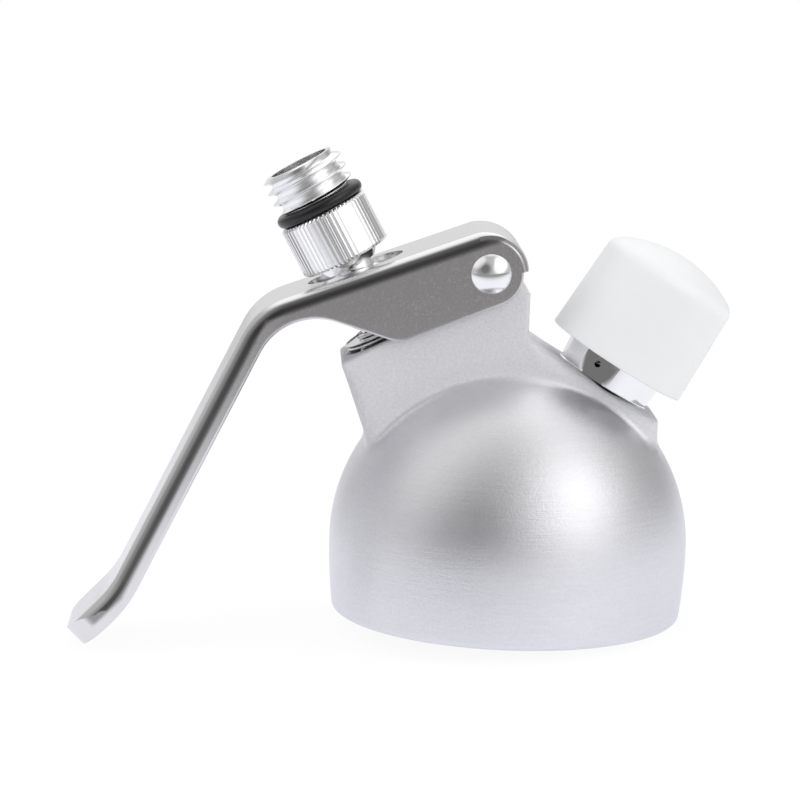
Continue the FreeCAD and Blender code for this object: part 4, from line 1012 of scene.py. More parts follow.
class CREAM_OT_valve(bpy.types.Operator):
    """Add the stem with its push flange, and the washer, clip, spring and seals on it."""

    bl_idname = "cream.valve"
    bl_label = "Valve"

    def execute(self, context):
        valve = sizes("valve")
        look = sizes("finish")
        place = valve_place()
        r = valve.stem_r
        seat = valve.seat_depth
        ball = valve.flange_ball
        clip = valve.washer_h + valve.washer_t
        neck_z = valve.flange_ball_z + math.sqrt(ball * ball - r * r)
        edge_z = valve.flange_ball_z + math.sqrt(ball * ball - valve.flange_r ** 2)
        groove = seat - 6.4
        floor = seat - 0.9
        from_edge = math.atan2(edge_z - valve.flange_ball_z, valve.flange_r)
        from_neck = math.atan2(neck_z - valve.flange_ball_z, r)
        top = arc_points(0, valve.flange_ball_z, ball, from_edge, from_neck)
        profile = rounded([
            (0, -seat - 6),
            (1.8, -seat - 6),
            (2.2, -seat - 5.6),
            (2.2, -seat),
            (r, -seat, 0.15),
            (r, -groove - 2, 0.1),
            (r - 1.1, -groove - 2),
            (r - 1.1, -groove),
            (r, -groove, 0.1),
            (r, clip),
            (r - 0.6, clip),
            (r - 0.6, clip + 0.7),
            (r, clip + 0.7),
            (r, edge_z - 1),
            (valve.flange_r, edge_z - 1, 0.2),
            *top,
            (r, valve.stem_top - 0.3),
            (r - 0.3, valve.stem_top),
            (valve.stem_bore, valve.stem_top, 0.2),
            (valve.stem_bore, -floor),
            (0, -floor),
        ], closed=False)
        stem = lathe(profile)
        for quarter in range(4):
            stem = combined(stem, spoke(1.3, 0.5, 6, -seat + 2.4, quarter * TURN / 4))
        steel = turned_metal("stem_metal", look.bright, place, 0.14)
        finished("valve_stem_turned", stem, "valve", ["valve_stem"], steel, place)
        wire = turned_metal("spring_steel", look.lever, place, 0.2)
        disc = washer(r + RUNNING_FIT, valve.washer_r, valve.washer_h, clip, 0.2)
        finished("spring_washer_turned", disc, "valve", ["spring_washer"], wire, place)
        snap = washer(r - 0.58, r + 1.3, clip + 0.05, clip + 0.65, 0.1)
        snap = combined(snap, column([(-9, -1.2), (-1, -1.2), (-1, 1.2), (-9, 1.2)], 0, 4))
        finished("stem_clip_cut", snap, "valve", ["stem_clip"], wire, place)
        self.spring(valve, place, wire)
        seal = washer(2.22, valve.bush_r + 0.6, -seat - 2.4, -seat - REST_GAP, 0.4)
        pale = rubber("pale_silicone", look.pale, 0.5)
        finished("valve_seal_moulded", seal, "valve", ["valve_seal"], pale, place)
        ring = lathe(ring_section(r - 0.53, 0.56, -seat + 5.4))
        black = rubber("black_rubber", look.black, 0.3)
        finished("stem_ring_moulded", ring, "valve", ["stem_ring"], black, place)
        nut = hexagon(8, -seat - 5, 2.58)
        nut = combined(nut, rod(2.2, -seat - 6, -seat))
        finished("seal_nut_cut", nut, "valve", ["seal_nut"], steel, place)
        return {"FINISHED"}

    def spring(self, valve, place, wire):
        """The coil between the pocket's floor and the washer."""
        low = REST_GAP - valve.pocket_depth + valve.spring_wire
        high = valve.washer_h - REST_GAP - valve.spring_wire
        turns = valve.spring_turns
        bm = bmesh.new()
        section = bmesh.ops.create_circle(bm, cap_ends=True, radius=valve.spring_wire, segments=12)
        stand = Matrix.Translation((valve.spring_r, 0, low)) @ Matrix.Rotation(math.pi / 2, 4, "X")
        bmesh.ops.transform(bm, matrix=stand, verts=section["verts"])
        whole = bm.faces[:] + bm.edges[:] + bm.verts[:]
        spun(bm, whole, COIL_STEPS * turns, TURN * turns, high - low)
        item = finished(
            "valve_spring_coil", tidy(bm), "head", ["valve_spring"], wire, place
        )
        foot = place @ Vector((0, 0, -valve.pocket_depth)) * MM
        tall = valve.pocket_depth + valve.washer_h
        travel = JOINTS["valve_lift"]["range_m"][1] / MM
        1 - travel / tall
        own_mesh(item)


def ring_section(middle, wire, height, steps=24):
    """The round section of an O-ring."""
    return arc_points(middle, height, wire, 0, TURN, TURN / steps)[:-1]


def hexagon(flats, low, height, soft=0.4):
    """A hexagonal prism with its outer corners turned off."""
    bm = bmesh.new()
    radius = flats / 2 / math.cos(math.pi / 6)
    made = bmesh.ops.create_cone(bm, cap_ends=True, segments=6, radius1=radius, radius2=radius, depth=height)
    bmesh.ops.translate(bm, verts=made["verts"], vec=(0, 0, low + height / 2))
    wide = radius + 0.05
    slim = flats / 2 - 0.05
    lip = (wide - slim) * soft
    high = low + height
    turned = lathe([
        (0, low),
        (slim, low),
        (wide, low + lip),
        (wide, high - lip),
        (slim, high),
        (0, high),
    ])
    return combined(tidy(bm), turned, "INTERSECT")


class CREAM_OT_bush(bpy.types.Operator):
    """Add the brass bush that guides the stem and carries the valve seat."""

    bl_idname = "cream.bush"
    bl_label = "Valve bush"

    def execute(self, context):
        valve = sizes("valve")
        bore = valve.stem_r + RUNNING_FIT
        shelf = valve.pocket_depth + 1.2
        face = -valve.boss_depth
        bush = lathe(rounded([
            (bore, -valve.seat_depth),
            (bore + 0.9, -valve.seat_depth, 0.1),
            (bore + 1.3, face - 1.2),
            (valve.bush_r + 1.4, face - 1.2, 0.3),
            (valve.bush_r + 1.4, face),
            (valve.bush_r, face),
            (valve.bush_r, -shelf),
            (bore, -shelf),
        ]))
        place = valve_place()
        brass = turned_metal("brass", sizes("finish").brass, place, 0.2)
        finished("valve_bush_turned", bush, "head", ["valve_bush"], brass, place)
        return {"FINISHED"}


# --- the nozzle adapter ---------------------------------------------------------------------------

RIB_SHIFTS = (-0.17, 0.17, 0.46, 0.54)


def knurled(bm, valve):
    """Straight ribs round the collar: two points on each land and two in each groove."""
    pitch = TURN / valve.ribs
    for vert in bm.verts:
        radius = math.hypot(vert.co.x, vert.co.y)
        if radius < valve.collar_r - 0.01:
            continue
        turn = math.atan2(vert.co.y, vert.co.x)
        step = round(turn / (pitch / 4))
        rib, place = divmod(step, 4)
        turn = (rib + RIB_SHIFTS[place]) * pitch
        deep = valve.rib_depth if place > 1 else 0
        vert.co.x = (radius - deep) * math.cos(turn)
        vert.co.y = (radius - deep) * math.sin(turn)
    return bm


class CREAM_OT_adapter(bpy.types.Operator):
    """Add the nozzle adapter with its knurled collar and thread, its O-ring and seal."""

    bl_idname = "cream.adapter"
    bl_label = "Nozzle adapter"

    def execute(self, context):
        valve = sizes("valve")
        look = sizes("finish")
        place = valve_place(valve.collar_h)
        bore = valve.stem_r + RUNNING_FIT
        seal_low = valve.stem_top - valve.collar_h
        seal_top = seal_low + 1.2
        collar, top, end = valve.collar_r, valve.collar_len, valve.adapter_len
        root = valve.nozzle_root
        base = top + 2.7
        turned = lathe(rounded([
            (bore, -1.9),
            (bore + 0.75, -1.9, 0.2),
            (root, 0),
            (collar - 0.5, 0),
            (collar, 0.5),
            (collar, top - 0.5),
            (collar - 0.5, top),
            (root - 0.1, top),
            (root - 0.1, base),
            (root, base),
            (root, end - 0.35),
            (root - 0.3, end, 0.1),
            (valve.nozzle_bore, end, 0.3),
            (valve.nozzle_bore, top + 0.6, 0.4),
            (3, seal_top + 0.6),
            (3, seal_top),
            (bore, seal_top),
        ]), valve.ribs * 4)
        turned = knurled(turned, valve)
        pitch = valve.nozzle_pitch
        crest = valve.nozzle_r

        def chamfer(height):
            """The thread's radius, which rises at its foot and falls at its rim."""
            foot = root + 0.5 + (height - base) * 1.9
            rim = root + 0.15 + (end - height) * 1.6
            return min(foot, rim, crest)

        half = pitch / 2
        tooth = [
            (root - 0.4, -half + 0.02),
            (root, -half + 0.3),
            (crest - 0.05, -0.14),
            (crest, -0.06),
            (crest, 0.06),
            (crest - 0.05, 0.14),
            (root, half - 0.3),
        ]
        thread = screw(tooth, pitch, base, end - 0.02, 96, chamfer)
        drilled = rod(valve.nozzle_bore + 0.2, base - 1, end + 1)
        thread = combined(thread, drilled)
        turned = combined(turned, thread, "UNION")
        metal = turned_metal("nozzle_metal", look.bright, place, 0.18, 0.014, 3.5)
        finished("nozzle_adapter_turned", turned, "adapter", ["nozzle_adapter"], metal, place)
        wire = valve.ring_wire
        ring = lathe(ring_section(root - 0.04 + wire, wire, top + 1.3, 32), 128)
        black = rubber("ring_rubber", look.black, 0.28)
        finished(
            "nozzle_ring_moulded", ring, "adapter_carrier", ["nozzle_ring"], black, place
        )
        seal = washer(
            valve.stem_bore + 0.1, valve.stem_r, seal_low + REST_GAP, seal_top - REST_GAP, 0.2
        )
        pale = rubber("adapter_seal", look.pale, 0.5)
        finished("adapter_seal_moulded", seal, "adapter", ["adapter_seal"], pale, place)
        return {"FINISHED"}


# --- the lever ------------------------------------------------------------------------------------

WASHER_PLAY = 0.06  # from a pivot washer to the ridge, mm
CHEEK_PLAY = 0.04  # from a pivot washer to the cheek, and of the steps beside the strip, mm
STRIP_END = math.radians(5)
CROWN_STEPS = 18
BEND_STEPS = 6
CROWN_EASE = 0.45  # share of the bend's fall that the rolled crown keeps
CROWN_BLEND = 0.7  # share of the crown's arc after which it takes the whole fall
HOLLOW_DEPTH = 12
FINE_ARC = math.radians(4)
EDGE_ARC = math.radians(6)
TIP_ARC = math.radians(5)


def fall(radius, past):
    """How far a rounding has fallen away at a distance past its start."""
    past = min(max(past, 0), radius)
    return radius - math.sqrt(radius * radius - past * past)


class LeverLines:
    """The lever's outlines seen from the front."""

    def __init__(self):
        self.size = size = sizes("lever")
        self.crown = size.web_slope + math.pi / 2
        self.knee_z = PIVOT_Z + size.web_r / math.cos(size.web_slope)
        self.knee_z += (size.knee_x - PIVOT_X) * math.tan(size.web_slope)
        self.curl_z = self.knee_z + (size.curl_x - size.knee_x) * math.tan(size.handle_slope)
        self.tip_z = self.curl_z + (size.tip_x - size.curl_x) * math.tan(size.curl_slope)

    def depth(self, x, z, line_x, line_z, slope):
        """How far a place lies below a line through a point, square to the line."""
        return ((x - line_x) * math.tan(slope) + line_z - z) * math.cos(slope)

    def meet(self, x, z, first, first_in, second, second_in):
        """The corner of two slopes through a point, each moved inward by its own distance."""
        gap = second_in / math.cos(second) - first_in / math.cos(first)
        step = gap / (math.tan(second) - math.tan(first))
        return x + step, z - first_in / math.cos(first) + step * math.tan(first)

    def tip(self, inset, inward=0):
        """A point of the handle's end: so far below its top and so far in from its end."""
        turn = self.size.curl_slope
        x = self.size.tip_x + inward * math.cos(turn) + inset * math.sin(turn)
        return x, self.tip_z + inward * math.sin(turn) - inset * math.cos(turn)

    def top_line(self, inset, inward, beyond, thin=0, ease=1):
        """The upper line from the strip's end over knee and curl to the tip, moved inward, and on."""
        size = self.size
        knee = self.meet(size.knee_x, self.knee_z, size.web_slope, inset, size.handle_slope, inset)
        curl = self.meet(size.curl_x, self.curl_z, size.handle_slope, inset, size.curl_slope, inset)
        crown = []
        for k in range(CROWN_STEPS + 1):
            part = k / CROWN_STEPS
            turn = STRIP_END + (self.crown - STRIP_END) * part
            full = ease + (1 - ease) * max(0, part - CROWN_BLEND) / (1 - CROWN_BLEND)
            reach = size.web_r - thin * (1 - part ** 3) - inset * full
            crown.append((PIVOT_X + reach * math.cos(turn), PIVOT_Z + reach * math.sin(turn)))
        line = rounded([
            crown[-1], (*knee, size.knee_round - inset), (*curl, size.curl_round + inset),
            (*self.tip(inset, inward), size.tip_bend), *beyond,
        ], closed=False, step=FINE_ARC)
        return crown + line[1:]

    def outside(self, inset, lift):
        """The outline with its top moved in and its lower edge lifted."""
        size = self.size
        deep = size.tip_depth - lift
        depth = size.handle_depth - lift
        curl = self.meet(size.curl_x, self.curl_z, size.handle_slope, depth, size.curl_slope, deep)
        belly_z = PIVOT_Z - size.cheek_r / math.cos(size.cheek_slope)
        belly_z += (size.belly_x - PIVOT_X) * math.tan(size.cheek_slope)
        belly = self.meet(size.belly_x, belly_z, -size.belly_rise, -lift, size.cheek_slope, -lift)
        rise = math.tan(size.belly_rise)
        steep = math.tan(size.handle_slope)
        lifted = belly_z + lift / math.cos(size.belly_rise)
        total = lifted + rise * size.belly_x - self.knee_z + depth / math.cos(size.handle_slope)
        pit_x = (total + size.knee_x * steep) / (steep + rise)
        pit_z = lifted - rise * (pit_x - size.belly_x)
        low = size.cheek_slope - math.pi / 2
        cheek = arc_points(PIVOT_X, PIVOT_Z, size.cheek_r - lift, low, STRIP_END, EDGE_ARC)
        beyond = [
            self.tip(deep),
            (*curl, size.curl_round + deep),
            (pit_x, pit_z, size.knee_round - 2),
            (*belly, size.belly_round),
            cheek[0],
        ]
        return self.top_line(inset, 0, beyond, size.strip_thin, CROWN_EASE) + cheek[1:]

    def inside(self, inset):
        """The outline of the space under the sheet, open below."""
        low = self.tip(inset + HOLLOW_DEPTH, self.size.wall)
        line = self.top_line(inset, self.size.wall, [low])
        return line + [(line[0][0], low[1])]


def tip_rounder(half, radius, tip, slope):
    """What lies outside the handle's round end, standing on the curled end."""
    far = half + 4
    reach = radius - half
    upper = arc_points(radius, half - radius, radius, math.pi / 2, math.pi, TIP_ARC)
    lower = arc_points(radius, reach, radius, math.pi, 1.5 * math.pi, TIP_ARC)
    outline = upper + lower + [(radius, -far), (-4, -far), (-4, far), (radius, far)]
    return placed(column(outline, -20, 20), tilted(tip[0], tip[1], -slope))


def side_levels(half, *roundings):
    """Distances from the middle plane, close together where the sides' roundings turn."""
    found = set()
    for radius in roundings:
        for k in range(BEND_STEPS + 1):
            turn = math.pi / 2 * k / BEND_STEPS
            found.add(round(half - radius + radius * math.sin(turn), 4))
    levels = sorted(found)
    return [-level for level in reversed(levels)] + levels


def layered(outline, levels):
    """A solid from an outline in X and Z for every level of Y."""
    bm = bmesh.new()
    rings = [[bm.verts.new((x, y, z)) for x, z in outline(abs(y))] for y in levels]
    for low, high in zip(rings, rings[1:]):
        for k in range(len(low)):
            bm.faces.new((low[k - 1], low[k], high[k], high[k - 1]))
    bm.faces.new(rings[0])
    bm.faces.new(rings[-1])
    return tidy(bm)


def lever_shape():
    """The bent sheet: a full body with round bends, less the space under it, slot, eye and steps."""
    lines = LeverLines()
    size = lines.size
    half = size.width / 2
    wall = size.wall
    inner_half = half - wall
    inner_bend = size.bend - wall

    def outer(y):
        drop = fall(size.bend, y - half + size.bend)
        lift = fall(size.edge, y - half + size.edge)
        return lines.outside(drop, lift)

    def inner(y):
        return lines.inside(wall + fall(inner_bend, y - inner_half + inner_bend))

    sheet = layered(outer, side_levels(half, size.bend, size.edge))
    sheet = combined(sheet, tip_rounder(half, size.tip_round, lines.tip(0), size.curl_slope))
    hollow = layered(inner, side_levels(inner_half, inner_bend))
    end = tip_rounder(inner_half, size.tip_round - wall, lines.tip(0, wall), size.curl_slope)
    sheet = combined(sheet, combined(hollow, end))
    sheet = combined(sheet, slot_tool(lines))
    for side in (-1, 1):
        sheet = combined(sheet, strip_tool(lines, side))
    return combined(sheet, pivot_hole(size.rivet_r, half + 2))


def slot_tool(lines):
    """The slot with round ends, standing on the web where the valve's axis crosses it."""
    size, valve = lines.size, sizes("valve")
    rise_x, rise_z = valve.x - PIVOT_X, valve.z - PIVOT_Z
    over = math.cos(size.web_slope) * rise_z - math.sin(size.web_slope) * rise_x
    reach = (size.web_r - over) / math.cos(valve.tilt - size.web_slope)
    spot = valve_place(reach).translation
    half = size.slot_w / 2
    right = arc_points(size.slot_high - half, 0, half, -math.pi / 2, math.pi / 2)
    left = arc_points(half - size.slot_low, 0, half, math.pi / 2, 1.5 * math.pi)
    return placed(column(right + left, -4, 4), tilted(spot.x, spot.z, -size.web_slope))


def strip_tool(lines, side):
    """What is taken off beside the web's end strip, outside the cheeks' round ends."""
    size = lines.size
    past = STRIP_END - math.radians(15)
    under = size.web_r - size.wall + CHEEK_PLAY
    below = STRIP_END - math.radians(2)
    near = arc_points(PIVOT_X, PIVOT_Z, size.cheek_r, past, below, EDGE_ARC)
    near += arc_points(PIVOT_X, PIVOT_Z, under, STRIP_END, lines.crown, EDGE_ARC)
    far = arc_points(PIVOT_X, PIVOT_Z, size.web_r + 1, lines.crown, past, EDGE_ARC)
    return prism(near + far, size.strip_in, side * size.width / 2)


class CREAM_OT_lever(bpy.types.Operator):
    """Add the lever, its rivet and the two washers beside the ridge."""

    bl_idname = "cream.lever"
    bl_label = "Lever"

    def execute(self, context):
        size = sizes("lever")
        head = sizes("head")
        look = sizes("finish")
        half = size.width / 2
        finished("lever_sheet", lever_shape(), "lever", ["lever"], lever_finish())
        across = pivot_place()
        ball = (size.rivet_head_r ** 2 + size.rivet_head_h ** 2) / (2 * size.rivet_head_h)
        start = math.asin((ball - size.rivet_head_h) / ball)
        dome = arc_to_axis(half + size.rivet_head_h - ball, ball, start, math.radians(4))
        upper = [(size.rivet_r, half)] + dome
        lower = [(radius, -height) for radius, height in reversed(upper)]
        rivet = lathe(lower + upper)
        steel = turned_metal("rivet_steel", look.bright, across, 0.10, 0.002)
        finished("pivot_rivet_headed", rivet, "lever", ["pivot_rivet"], steel, across)
        nylon = plastic("nylon", look.nylon, 0.45)
        near = head.ridge_w / 2 + WASHER_PLAY
        far = half - size.wall - CHEEK_PLAY
        inner, outer = size.rivet_r + RUNNING_FIT, head.boss_r - 0.8
        for name, node, side in (("front", "front_washer", 1), ("back", "back_washer", -1)):
            disc = washer(inner, outer, near, far, 0.1)
            bmesh.ops.scale(disc, vec=(1, 1, side), verts=disc.verts)
            finished(name + "_washer_pressed", tidy(disc), "lever", [node], nylon, across)
        return {"FINISHED"}


# --- the charger port -----------------------------------------------------------------------------

def flat_tool(port, turn):
    """The block beyond one of the port's wrench flats."""
    near, far = port.flat, port.flat + 8
    block = column([(near, -8), (far, -8), (far, 8), (near, 8)], -1, 5.2)
    return placed(block, Matrix.Rotation(turn, 4, "Z"))


class CREAM_OT_port(bpy.types.Operator):
    """Add the charger port with its flats, vent and thread, and what sits in and under it."""

    bl_idname = "cream.port"
    bl_label = "Charger port"

    def execute(self, context):
        port = sizes("port")
        look = sizes("finish")
        place = port_place()
        spigot, crest, bore, top = port.spigot_r, port.crest, port.bore, port.top
        root = crest - 1.05
        body = lathe(rounded([
            (0, -20),
            (4.4, -20),
            (5, -19.4),
            (5, -13.2),
            (spigot - 0.5, -13.2),
            (spigot, -12.7),
            (spigot, 0),
            (port.barrel_r, 0, 0.25),
            (port.barrel_r, 6, 0.35),
            (crest - 1.1, 6, 0.3),
            (root, 7.5),
            (root, top - 0.3),
            (root - 0.3, top),
            (bore + 0.5, top),
            (bore, top - 0.5),
            (bore, 1),
            (2.5, 1),
            (2.5, -5.2),
            (1.6, -5.2),
            (1.6, -18.5),
            (0, -18.5),
        ], closed=False), 144)

        def chamfer(height):
            """The thread's radius, which rises at its foot and falls at its rim."""
            return min(root + (height - 7.1) * 1.4, root + 0.3 + (top - height) * 1.1, crest)

        half = port.pitch / 2
        tooth = [
            (root - 0.4, -half + 0.02),
            (root, -half + 0.25),
            (crest, -0.5),
            (crest, 0.5),
            (root, half - 0.25),
        ]
        for turn in (port.flat_turn, port.flat_turn + math.pi):
            body = combined(body, flat_tool(port, turn))
        body = combined(body, spoke(0.65, 4, 9, 3, port.flat_turn - math.radians(3)))
        for turn in (0, math.pi):
            body = combined(body, spoke(1, 0.5, 6, -17.5, turn))
        thread = screw(tooth, port.pitch, 7.1, top - 0.02, 144, chamfer)
        thread = combined(thread, rod(root - 0.8, 6, top + 1, 144))
        body = combined(body, thread, "UNION")
        chrome = turned_metal("port_chrome", look.bright, place, 0.09, 0.003)
        finished("charger_port_turned", body, "head", ["charger_port"], chrome, place)
        low = -port.boss - REST_GAP - port.nut_h
        nut = combined(hexagon(port.nut_w, low, port.nut_h), rod(spigot, low - 2, low + 6))
        finished("port_nut_cut", nut, "head", ["port_nut"], chrome, place)
        ring = lathe(ring_section(spigot + 0.85, 0.72, -0.76))
        black = rubber("port_rubber", look.black, 0.3)
        finished("port_ring_moulded", ring, "head", ["port_ring"], black, place)
        point = [(0.55, -5), (2.48, -5), (2.48, 1.6), (1.3, 3.6), (1.3, 10), (0.62, 12), (0.55, 12)]
        needle = lathe(point, 48)
        shank = combined(hexagon(8, 1, 2), rod(1, 0, 4))
        needle = combined(needle, shank, "UNION")
        steel = turned_metal("pin_steel", look.bright, place, 0.15)
        finished("piercing_pin_turned", needle, "head", ["piercing_pin"], steel, place)
        pale = rubber("port_silicone", look.pale, 0.5)
        seal = washer(1.6, bore - RUNNING_FIT, 4.2, 6.8, 0.3)
        finished("charger_seal_moulded", seal, "head", ["charger_seal"], pale, place)
        sleeve = washer(5.02, 6.2, -19.6, -15.4, 0.3)
        finished("gas_sleeve_moulded", sleeve, "head", ["gas_sleeve"], pale, place)
        return {"FINISHED"}


class CREAM_OT_cap(bpy.types.Operator):
    """Add the push-on cap over the charger port."""

    bl_idname = "cream.cap"
    bl_label = "Cap"

    def side(self, port, inset):
        """One side of the shell from its foot to its axis."""
        crown = port.cap_crown - inset
        corner = port.cap_corner - inset
        centre_r = port.cap_r - port.cap_draft - port.cap_corner
        between = port.cap_crown - port.cap_corner
        rise = math.sqrt(between * between - centre_r * centre_r)
        low = port.cap_h
        centre_z = low + port.cap_len - port.cap_crown
        lean = math.atan2(rise, centre_r)
        shoulder = arc_points(centre_r, centre_z + rise, corner, 0, lean, math.radians(6))
        dome = arc_to_axis(centre_z, crown, lean, math.radians(3))
        return [(port.cap_r - inset, low)] + shoulder + dome[1:]

    def execute(self, context):
        port = sizes("port")
        place = port_place()
        outer = self.side(port, 0)
        inner = self.side(port, port.cap_wall)
        low, soft = port.cap_h, 0.15
        foot = [(inner[0][0] + soft, low), (port.cap_r - soft, low), (port.cap_r, low + soft)]
        shell = lathe(inner[:0:-1] + foot + outer[1:], 128)
        skin = plastic("cap_plastic", sizes("finish").plastic, 0.38, 0.35)
        finished("charger_cap_moulded", shell, "cap", ["charger_cap"], skin, place)
        grip = port.crest + RUNNING_FIT
        low = port.cap_h + 2.7
        reach = grip + 1.3
        high = max(height for radius, height in inner if radius > reach) + 0.02
        sleeve = lathe(rounded([(grip, low, 0.2), (reach, low, 0.2), (reach, high), (grip, high)]), 96)
        finished("cap_sleeve_moulded", sleeve, "cap", ["cap_sleeve"], skin, place)
        return {"FINISHED"}


class CREAM_OT_gasket(bpy.types.Operator):
    """Add the gasket that seals on the bottle's mouth."""

    bl_idname = "cream.gasket"
    bl_label = "Bottle gasket"

    def execute(self, context):
        head = sizes("head")
        inner = head.throat_r + 0.4
        outer = head.bottle_r + head.bottle_depth + 0.3
        low, high = head.seat_z - 2.8, head.seat_z
        gasket = lathe(rounded([
            (inner, low, 0.3), (outer, low, 0.4), (outer, high, 0.4), (inner, high, 0.3),
        ]), 128)
        pale = rubber("gasket_silicone", sizes("finish").pale, 0.5)
        finished("bottle_gasket_moulded", gasket, "head", ["bottle_gasket"], pale)
        return {"FINISHED"}


# --- the stage ------------------------------------------------------------------------------------

def direction(azimuth, elevation):
    """The way from the head towards a place, the camera's azimuth being 0 in front."""
    a, e = math.radians(azimuth), math.radians(elevation)
    return Vector((math.sin(a) * math.cos(e), -math.cos(a) * math.cos(e), math.sin(e)))


LAMP_AIM = Vector((-0.01, 0, 0.035))
LAMP_REACH = 0.7


def softbox(name, azimuth, elevation, width, height, brightness, tint):
    """A lamp with a flat face that looks at the head; mirrors don't show it."""
    light = bpy.data.lights.new(name, "AREA")
    light.shape = "RECTANGLE"
    light.size = width
    light.size_y = height
    light.energy = brightness * math.pi * width * height
    light.color = tint
    item = linked(name, light)
    way = direction(azimuth, elevation)
    item.location = LAMP_AIM + way * LAMP_REACH
    item.rotation_euler = way.to_track_quat("Z", "Y").to_euler()
    item.visible_glossy = False


def floor_finish():
    """White to the camera with the head's shadow kept; to what mirrors it, a painted glow, pale near the
    head, greyer further off and dark in front.
    """
    shade = Shade("floor")
    x, y, _ = shade.split(shade.node("ShaderNodeTexCoord", output=3))
    reach = (x * x + y * y) ** 0.5
    camera, glossy = shade.rays()
    lit = shade.node("ShaderNodeBsdfDiffuse", {}, {"Color": (0.9, 0.9, 0.9, 1)})
    white = shade.node("ShaderNodeEmission", {}, {"Color": (1, 1, 1, 1), "Strength": 1.02})
    # Painted reflection: the floor as mirrors see it glows, greyer further off and dark in front of the head.
    falloff = shade.ramp(reach, 0.12, 0.9)
    tint = shade.mixed(falloff, (0.93, 0.935, 1.0, 1), (0.55, 0.55, 0.57, 1))
    tint = shade.mixed(shade.ramp(0 - y, 0.07, 0.36), tint, (0.20, 0.195, 0.19, 1))
    pale = shade.node("ShaderNodeEmission", {}, {"Color": tint, "Strength": 1.0})
    seen = shade.node("ShaderNodeMixShader", {}, (camera * 0.90, lit, white))
    seen = shade.node("ShaderNodeMixShader", {}, (glossy * 0.85, seen, pale))
    shade.node("ShaderNodeOutputMaterial", {}, {"Surface": seen})
    return shade.material


# Parts of the room: azimuth, elevation, the cosines where the part begins and is full, and how much
# darker or brighter a mirror sees it.
FRONT_DARK = (-32, 14, 0.72, 0.97)
FRONT_DEPTH = 0.47
DARK_LOBES = (
    (-27, 20, 0.90, 0.985, 0.22),
    (136, 1, 0.82, 0.98, 0.34),
)
BRIGHT_LOBES = (
    (178, 4, 0.70, 0.92, 0.24),
    (178, 62, 0.70, 0.90, 0.65),
    (56, 40, 0.82, 0.98, 0.78),
    (38, 22, 0.84, 0.98, 0.55),
    (-72, 40, 0.84, 0.97, 0.36),
)


def room_light(room):
    """A grey room: darker in front and bright behind to mirrors, plain and pale to all else."""
    world = bpy.data.worlds.new("room")
    shade = Shade("room", world)
    way = shade.node("ShaderNodeTexCoord", output=0)
    front = shade.towards(way, *FRONT_DARK)
    left = 1.0 - front * FRONT_DEPTH
    for *lobe, depth in DARK_LOBES:
        left = left - shade.towards(way, *lobe) * depth
    high = shade.ramp(shade.split(way)[2], 0.2, 0.95)
    grey = left * (room - high * 0.04)
    for *lobe, height in BRIGHT_LOBES:
        grey = grey + shade.towards(way, *lobe) * height
    camera, glossy = shade.rays()
    plain = 1 - front * 0.35
    value = camera + (1 - camera) * (glossy * grey + (1 - glossy) * plain)
    strength = shade.node("ShaderNodeBackground", {}, {"Color": (1, 1, 1, 1), "Strength": value})
    shade.node("ShaderNodeOutputWorld", {}, {"Surface": strength})
    bpy.context.scene.world = world


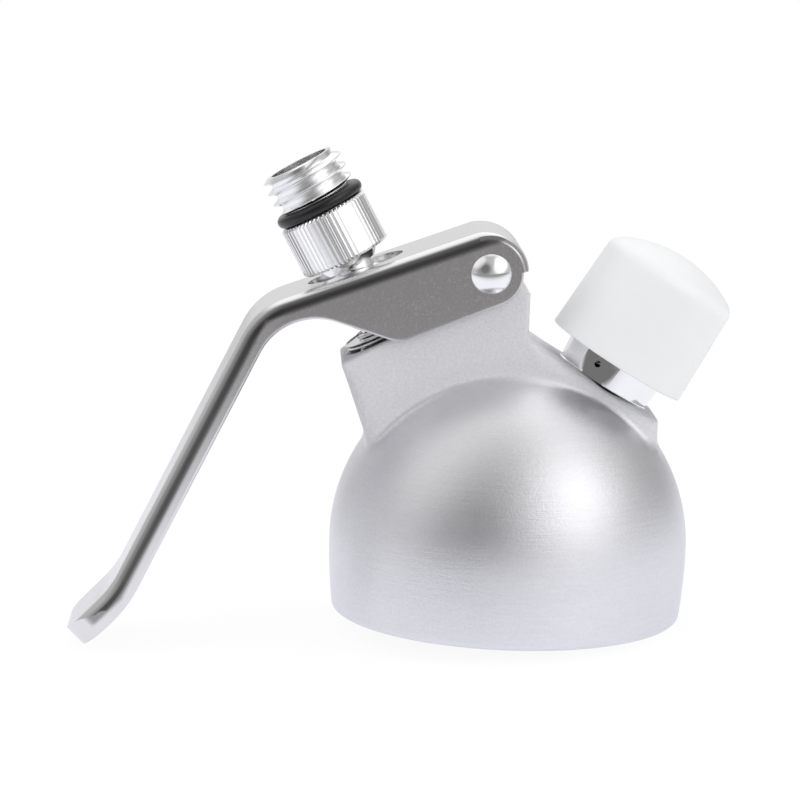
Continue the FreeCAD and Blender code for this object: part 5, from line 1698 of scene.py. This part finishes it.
class CREAM_OT_stage(bpy.types.Operator):
    """Add the floor that the head leans on, the room, the lamps and the camera."""

    bl_idname = "cream.stage"
    bl_label = "Stage"

    def floor(self):
        """A plain floor that touches the rim's right side and the handle's tip."""
        head = sizes("head")
        points = []
        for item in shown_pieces():
            if item.name in ("lever_sheet", "head_casting"):
                points += [vert.co for vert in item.data.vertices]
        rim_r = (head.dome_r - 0.8) * MM
        handle = [point for point in points if point.x < -0.06]
        lean = max([0.0] + [math.atan2(-point.z, rim_r - point.x) for point in handle])
        bm = bmesh.new()
        bmesh.ops.create_grid(bm, x_segments=2, y_segments=2, size=2.0)
        stand = Matrix.Translation((rim_r, 0, -0.0002)) @ Matrix.Rotation(-lean, 4, "Y")
        item = loose(placed(bm, stand), "floor")
        item.data.materials.append(floor_finish())
        item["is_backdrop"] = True

    def camera(self, stage):
        target = Vector((stage.target_x, 0, stage.target_z)) * MM
        a, e = stage.azimuth, stage.elevation
        back = direction(math.degrees(a), math.degrees(e))
        level = Vector((math.cos(a), math.sin(a), 0))
        upright = Vector((-math.sin(a) * math.sin(e), math.cos(a) * math.sin(e), math.cos(e)))
        right = level * math.cos(stage.roll) + upright * math.sin(stage.roll)
        up = upright * math.cos(stage.roll) - level * math.sin(stage.roll)
        data = bpy.data.cameras.new("camera")
        data.lens = stage.lens
        data.sensor_width = 36
        item = linked("camera", data)
        place = Matrix((right, up, back)).transposed().to_4x4()
        place.translation = target + back * stage.distance * MM
        item.matrix_world = place
        bpy.context.scene.camera = item

    def execute(self, context):
        stage = sizes("stage")
        self.floor()
        room_light(stage.room)
        softbox("key", 46, 32, 0.26, 0.30, stage.key, (1.0, 0.985, 0.96))
        softbox("fill", -72, 46, 0.45, 0.45, stage.fill, (1.0, 1.0, 1.0))
        self.camera(stage)
        context.scene.view_settings.view_transform = "Standard"
        return {"FINISHED"}


class CREAM_PT_panel(bpy.types.Panel):
    """The dispenser head's pieces, one button each."""

    bl_idname = "CREAM_PT_panel"
    bl_label = "Cream dispenser head"
    bl_space_type = "VIEW_3D"
    bl_region_type = "UI"
    bl_category = "Dispenser"

    def draw(self, context):
        for key in GROUPS:
            box = self.layout.box()
            group = getattr(context.scene, "cream_" + key)
            for name in group.__annotations__:
                box.prop(group, name)
        for step in OPERATORS:
            self.layout.operator(step.bl_idname)


GROUPS = {
    "head": CREAM_PG_head,
    "valve": CREAM_PG_valve,
    "lever": CREAM_PG_lever,
    "port": CREAM_PG_port,
    "finish": CREAM_PG_finish,
    "stage": CREAM_PG_stage,
}
OPERATORS = [
    CREAM_OT_head,
    CREAM_OT_gasket,
    CREAM_OT_bush,
    CREAM_OT_valve,
    CREAM_OT_adapter,
    CREAM_OT_lever,
    CREAM_OT_port,
    CREAM_OT_cap,
    CREAM_OT_stage,
]


def register():
    for item in [*GROUPS.values(), *OPERATORS, CREAM_PT_panel]:
        bpy.utils.register_class(item)
    for key, group in GROUPS.items():
        setattr(bpy.types.Scene, "cream_" + key, bpy.props.PointerProperty(type=group))


def unregister():
    for key in GROUPS:
        delattr(bpy.types.Scene, "cream_" + key)
    for item in reversed([*GROUPS.values(), *OPERATORS, CREAM_PT_panel]):
        bpy.utils.unregister_class(item)


def main():
    register()
    bpy.ops.cream.head()
    bpy.ops.cream.gasket()
    bpy.ops.cream.bush()
    bpy.ops.cream.valve()
    bpy.ops.cream.adapter()
    bpy.ops.cream.lever()
    bpy.ops.cream.port()
    bpy.ops.cream.cap()
    bpy.ops.cream.stage()


if __name__ == "__main__":
    main()
